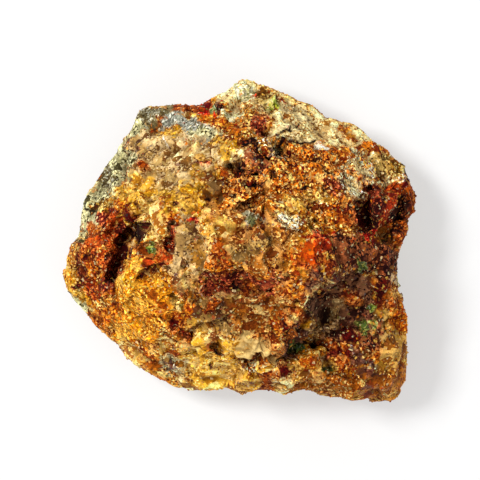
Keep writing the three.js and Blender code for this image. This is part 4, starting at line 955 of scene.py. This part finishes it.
# Brightness: the mottle's and the grains' share, and which grains take a painted glint, a pale colour put into the
# base colour.
SWING_BASE, MOTTLE_SWING, GRAIN_SWING = 2.718, 2.6, 0.9
GLINT_FROM, GLINT_MOTTLE, GLINT_SHARE, GLINT = 0.965, 0.46, 0.8, (0.62, 0.5, 0.26, 1)
BUMP_HEIGHT = 0.00014


def rock_material(name, fleck, bump, specular):
    """Painted stone made of grains: each takes its zone's main, dark or pale tone, or that of another stone."""
    n = Nodes(name, Specular_IOR_Level=specular)
    place = n.add("TexCoord").outputs["Object"]
    layers = [n.add("Attribute", attribute_name=layer) for layer in LAYERS]
    main, dark, pale = [layer.outputs["Color"] for layer in layers[:3]]
    coarse, dark_share, pale_share = [layer.outputs["Alpha"] for layer in layers[:3]]
    gloss, grainy, mixed = n.split(layers[3].outputs["Color"])
    bend = n.add("TexNoise", place, Scale=BEND[0], Detail=BEND[1])
    shift = n.add("VectorMath", operation="MULTIPLY_ADD")
    n.feed(shift, (bend.outputs["Color"], 0), ((BEND[2],) * 3, 1), (place, 2))

    def grains(scale):
        node = n.add("TexVoronoi", shift.outputs["Vector"], Scale=scale, Randomness=1.0)
        return node, n.split(node.outputs["Color"])

    fine, (fine_pick, fine_level, fine_glint) = grains(FINE_GRAINS)
    _, (coarse_pick, coarse_choice, _) = grains(COARSE_GRAINS)
    _, (other_pick, other_kind, _) = grains(OTHER_GRAINS)
    pick = n.value_mix(n.math("LESS_THAN", coarse_choice, coarse), fine_pick, coarse_pick)
    colour = n.blend(n.math("LESS_THAN", pick, dark_share), main, dark)
    colour = n.blend(n.math("GREATER_THAN", pick, n.math("SUBTRACT", 1.0, pale_share)), colour, pale)
    ramp = n.add("ValToRGB")
    ramp.color_ramp.interpolation = "CONSTANT"
    stops = ramp.color_ramp.elements
    for index, rgb in enumerate(STRANGERS):
        stop = stops[index] if index < 2 else stops.new(index / len(STRANGERS))
        stop.position = index / len(STRANGERS)
        stop.color = (*linear(rgb), 1)
    n.join(other_kind, ramp.inputs["Fac"])
    strange = n.math("MULTIPLY", n.math("LESS_THAN", other_pick, mixed), STRANGE)
    colour = n.blend(strange, colour, ramp.outputs["Color"])

    # Brightness wanders with the mottle and from grain to grain, less where the stone is smooth.
    mottle = n.add("TexNoise", place, Scale=2300.0, Detail=4.0, Roughness=0.65).outputs["Fac"]
    wander = n.math("MULTIPLY", n.math("SUBTRACT", mottle, 0.5), MOTTLE_SWING)
    jump = n.math("MULTIPLY", n.math("SUBTRACT", fine_level, 0.5), GRAIN_SWING)
    swing = n.math("MULTIPLY", n.math("MULTIPLY", n.math("ADD", wander, jump), grainy), fleck)
    colour = n.scaled(colour, n.math("POWER", SWING_BASE, swing))
    # Painted glints: a few grains take a pale highlight colour in the base colour.
    on_point = n.math("LESS_THAN", mottle, GLINT_MOTTLE)
    glint = n.math("MULTIPLY", n.math("GREATER_THAN", fine_glint, GLINT_FROM), on_point)
    colour = n.blend(n.math("MULTIPLY", glint, GLINT_SHARE), colour, GLINT)
    height = n.math("MULTIPLY", n.math("MULTIPLY_ADD", mottle, 1.6, fine.outputs["Distance"]), grainy)
    relief_node = n.add("Bump", Strength=bump, Distance=BUMP_HEIGHT)
    n.join(height, relief_node.inputs["Height"])
    n.feed(n.shader, (colour, "Base Color"), (gloss, "Roughness"), (relief_node.outputs["Normal"], "Normal"))
    return n.material


def crystal_material():
    n = Nodes("zeunerite", Roughness=0.35, IOR=1.6, Specular_IOR_Level=0.3, Transmission_Weight=0.1)
    mottle = n.add("TexNoise", n.add("TexCoord").outputs["Object"], Scale=2600.0, Detail=3.0).outputs["Fac"]
    level = n.math("MULTIPLY_ADD", mottle, 0.7, 0.65)
    tint = n.add("Attribute", attribute_name=LAYERS[0]).outputs["Color"]
    n.join(n.scaled(tint, level), n.shader.inputs["Base Color"])
    return n.material


def random_turns(random, count):
    q = random.normal(size=(count, 4))
    q /= np.linalg.norm(q, axis=1, keepdims=True)
    w, x, y, z = q.T
    return np.stack([
        np.stack([1 - 2 * (y * y + z * z), 2 * (x * y - z * w), 2 * (x * z + y * w)], 1),
        np.stack([2 * (x * y + z * w), 1 - 2 * (x * x + z * z), 2 * (y * z - x * w)], 1),
        np.stack([2 * (x * z - y * w), 2 * (y * z + x * w), 1 - 2 * (x * x + y * y)], 1),
    ], 1)


# Bodies of the grains: a lump with twenty faces for limonite, a worn block for quartz.
G = (1 + 5**0.5) / 2
LUMP_POINTS = np.array([
    (-1, G, 0), (1, G, 0), (-1, -G, 0), (1, -G, 0), (0, -1, G), (0, 1, G), (0, -1, -G), (0, 1, -G),
    (G, 0, -1), (G, 0, 1), (-G, 0, -1), (-G, 0, 1),
]) / math.hypot(1, G)
LUMP_FACES = np.array([
    (0, 11, 5), (0, 5, 1), (0, 1, 7), (0, 7, 10), (0, 10, 11), (1, 5, 9), (5, 11, 4), (11, 10, 2), (10, 7, 6),
    (7, 1, 8), (3, 9, 4), (3, 4, 2), (3, 2, 6), (3, 6, 8), (3, 8, 9), (4, 9, 5), (2, 4, 11), (6, 2, 10),
    (8, 6, 7), (9, 8, 1),
])
CHIP_POINTS = 0.62 * np.array([
    (-1, -1, -1), (1, -1, -1), (1, 1, -1), (-1, 1, -1),
    (-0.7, -0.8, 1), (0.8, -0.6, 1), (0.6, 0.8, 1), (-0.8, 0.7, 1),
])
CHIP_FACES = np.array([
    (0, 2, 1), (0, 3, 2), (4, 5, 6), (4, 6, 7), (0, 1, 5), (0, 5, 4), (1, 2, 6), (1, 6, 5), (2, 3, 7), (2, 7, 6),
    (3, 0, 4), (3, 4, 7),
])
# Shares of dark, pale and coarse grains and of other stone on a grain itself.
GRAIN_SHARES = (0.08, 0.06, 0.0, 0.08)


def scatter(name, random, surface, weight, count, sizes, template, material, lighten, gloss, sink):
    """Small loose-looking grains grown fast to the rock, joined in one piece."""
    points, faces, tones, paint = surface
    a, b, c = points[faces[:, 0]], points[faces[:, 1]], points[faces[:, 2]]
    cross = np.cross(b - a, c - a)
    area = np.linalg.norm(cross, axis=1)
    chance_of = area * weight[faces].mean(1)
    pick = random.choice(len(faces), count, p=chance_of / chance_of.sum())
    u, v = random.random(count), random.random(count)
    swap = u + v > 1
    u, v = np.where(swap, 1 - u, u), np.where(swap, 1 - v, v)
    place = a[pick] + u[:, None] * (b - a)[pick] + v[:, None] * (c - a)[pick]
    out = cross[pick] / area[pick][:, None]
    size = mix(sizes[0], sizes[1], random.random(count) ** 2.2)
    shape, shape_faces = template
    jitter = 1 + 0.5 * (random.random((count, len(shape), 1)) - 0.5)
    stretch = 1 + 0.7 * (random.random((count, 1, 3)) - 0.5)
    body = shape[None] * jitter * stretch * size[:, None, None] * 0.5
    body = np.einsum("nij,nkj->nki", random_turns(random, count), body)
    body += (place - out * (size * sink)[:, None])[:, None, :]
    all_points = body.reshape(-1, 3)
    all_points[:, 2] = np.maximum(all_points[:, 2], 0.02)
    all_faces = (shape_faces[None] + (np.arange(count) * len(shape))[:, None, None]).reshape(-1, 3)
    near = faces[pick, 0]
    kind = random.random(count)
    main, dark, pale = [tone[near] for tone in tones]
    own = np.where((kind < paint[near, DARK_SHARE])[:, None], dark, main)
    own = np.where((kind > 1 - 0.5 * paint[near, PALE_SHARE])[:, None], pale, own)
    own = np.clip(own * np.exp(random.normal(lighten, 0.25, count))[:, None], 0.004, 0.95)
    finish = paint[near].copy()
    finish[:, ROUGH] = mix(gloss[0], gloss[1], random.random(count))
    finish[:, [DARK_SHARE, PALE_SHARE, COARSE, MIXED]] = GRAIN_SHARES
    looks = [np.repeat(values, len(shape), 0) for values in looks_of((own, dark, pale), finish)]
    new_piece(name, all_points, all_faces, looks, material)


# Build the lump.
plain, triangles, calm, below, top_count = rock_surface()
final, paint, pores = detailed(plain, triangles, calm, below, top_count)
tones = coloured(final, triangles, paint, pores)
glassy = paint[triangles, COARSE].mean(1) > 0.68
stone = rock_material("rock", 0.8, 0.8, 0.05)
rock = new_piece("rock_surface", final, triangles, looks_of(tones, paint), stone, glassy)
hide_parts("matrix")

# Grains on it, as many as the kinds have crumbs or angular chips.
random = np.random.default_rng(7)
surface = (final, triangles, tones, paint)
on_top = np.where(below == BASE_DEPTH, 0, 1.0)
scatter("limonite_crumbs", random, surface, on_top * paint[:, CRUMB] ** 2, 9000, (0.14, 0.5),
        (LUMP_POINTS, LUMP_FACES), rock_material("crumbs", 0.5, 0.5, 0.05), 0.05, (0.6, 0.95), 0.12)
scatter("quartz_grains", random, surface, on_top * np.clip(paint[:, ANGULAR] - 0.2, 0, 1) ** 2, 4500, (0.25, 0.8),
        (CHIP_POINTS, CHIP_FACES), rock_material("quartz", 0.4, 0.2, 0.4), 0.1, (0.2, 0.5), 0.2)


# Zeunerite: each spray stands where its solid does, on the finished surface.
tree = BVHTree.FromPolygons([tuple(v) for v in final], [tuple(f) for f in triangles])
GREENS = {
    "zeunerite_summit": [(190, 192, 40), (132, 140, 20), (224, 212, 104)],
    "zeunerite_vug_side": [(104, 126, 26), (74, 90, 16), (148, 152, 56)],
    "zeunerite_red_cavity": [(140, 156, 70), (100, 124, 40), (190, 190, 116)],
    "zeunerite_centre": [(102, 100, 54), (118, 110, 62), (78, 78, 40)],
    "zeunerite_bowl_brow": [(78, 88, 30), (108, 104, 40), (48, 60, 20)],
    "zeunerite_bowl_edge": [(104, 118, 30), (68, 80, 18), (140, 134, 50)],
    "zeunerite_slot": [(62, 86, 22), (42, 58, 14), (96, 108, 32)],
    "zeunerite_east_wall": [(88, 114, 32), (144, 148, 64), (62, 70, 18)],
}
PLATES = 20
crystal = crystal_material()


def plate(width, thickness):
    """A square plate with cut corners and bevelled rims: three rings of eight points."""
    h, k, e = width / 2, thickness / 2, width * 0.3
    level = [(h, e), (e, h), (-e, h), (-h, e), (-h, -e), (-e, -h), (e, -h), (h, -e)]
    inner = [(x * 0.86, y * 0.86) for x, y in level]
    points = [(x, y, z) for ring, y in ((inner, -k), (level, 0), (inner, k)) for x, z in ring]
    faces = []
    for a in (0, 8):
        for n in range(8):
            m = (n + 1) % 8
            faces += [(a + n, a + 8 + n, a + 8 + m), (a + n, a + 8 + m, a + m)]
    faces += [(0, n, n + 1) for n in range(1, 7)] + [(16, 16 + n + 1, 16 + n) for n in range(1, 7)]
    return np.array(points), np.array(faces)


def spray(node, box_low, box_high):
    """Plates in a bundle, the first ones largest, each leaning, twisted and turned a little differently."""
    x, y = (box_low[0] + box_high[0]) / 2 / MM, (box_low[1] + box_high[1]) / 2 / MM
    width = (box_high[2] - box_low[2]) / MM * 0.85
    foot = np.array(tree.ray_cast(Vector((x, y, 60)), Vector((0, 0, -1)))[0])
    points, faces, tints = [], [], []
    greens = [linear(tint) for tint in GREENS[node]]
    for n in range(PLATES):
        size = width * mix(0.72, 0.22, n / PLATES) * mix(0.85, 1.1, random.random())
        p, f = plate(size, 0.16 + 0.12 * random.random())
        p = p + (0, 0, size * 0.42)
        lean, twist, turn = random.normal(0, 0.35), random.normal(0, 0.3), random.random() * math.pi
        (cx, sx), (cy, sy), (cz, sz) = [(math.cos(angle), math.sin(angle)) for angle in (lean, twist, turn)]
        p = p @ np.array([(1, 0, 0), (0, cx, sx), (0, -sx, cx)])
        p = p @ np.array([(cy, 0, -sy), (0, 1, 0), (sy, 0, cy)])
        p = p @ np.array([(cz, sz, 0), (-sz, cz, 0), (0, 0, 1)])
        away = width * 0.42 * random.random() ** 0.5
        swing = random.random() * 2 * math.pi
        p = p + (away * math.cos(swing), away * math.sin(swing), -0.25)
        faces.append(f + len(p) * n)
        points.append(p + foot)
        tints.append(np.tile(greens[n % 3] * math.exp(random.normal(0, 0.22)), (len(p), 1)))
    looks = [np.concatenate(tints)]
    piece = new_piece("spray_" + node, np.concatenate(points), np.concatenate(faces), looks, crystal)
    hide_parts(node)


for node in sorted(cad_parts):
    if node.startswith("zeunerite_"):
        spray(node, *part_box(node))

# Studio: a pale floor that glows a little, a soft key from the upper left, a weak fill.
floor_mesh = bpy.data.meshes.new("floor")
floor_mesh.from_pydata([(-3, -3, 0), (3, -3, 0), (3, 3, 0), (-3, 3, 0)], [], [(0, 1, 2, 3)])
floor = add_object("floor", floor_mesh)
floor.location.z = -0.00005
pale_floor = Nodes("pale_floor", Base_Color=(0.42, 0.42, 0.42, 1), Roughness=0.9, Emission_Color=(1, 1, 1, 1),
                   Emission_Strength=0.46)
floor_mesh.materials.append(pale_floor.material)


def soft_light(name, place, size, watts, aim=(0, 0, 0.015)):
    lamp = bpy.data.lights.new(name, "AREA")
    lamp.shape = "SQUARE"
    lamp.size = size
    lamp.energy = watts
    piece = add_object(name, lamp)
    piece.location = place
    piece.rotation_euler = (Vector(aim) - Vector(place)).to_track_quat("-Z", "Y").to_euler()


soft_light("key", (-0.29, 0.13, 0.56), 0.16, 3.5)
soft_light("fill", (0.4, -0.3, 0.5), 0.4, 0.6)

world = bpy.data.worlds.new("studio")
world.use_nodes = True
background = world.node_tree.nodes["Background"]
background.inputs["Color"].default_value = (1, 1, 1, 1)
background.inputs["Strength"].default_value = 0.55
bpy.context.scene.world = world
bpy.context.scene.view_settings.view_transform = "Standard"

# The camera looks straight down, and its picture is 72 mm across at the lump's widest line.
LENS, SENSOR = 400, 36
VIEW_WIDTH, WIDEST_LINE = 0.072, 0.009
camera_data = bpy.data.cameras.new("camera")
camera_data.lens = LENS
camera_data.sensor_width = SENSOR
camera_data.clip_end = 20
camera = add_object("camera", camera_data)
camera.location = (0, 0, WIDEST_LINE + VIEW_WIDTH * LENS / SENSOR)
bpy.context.scene.camera = camera
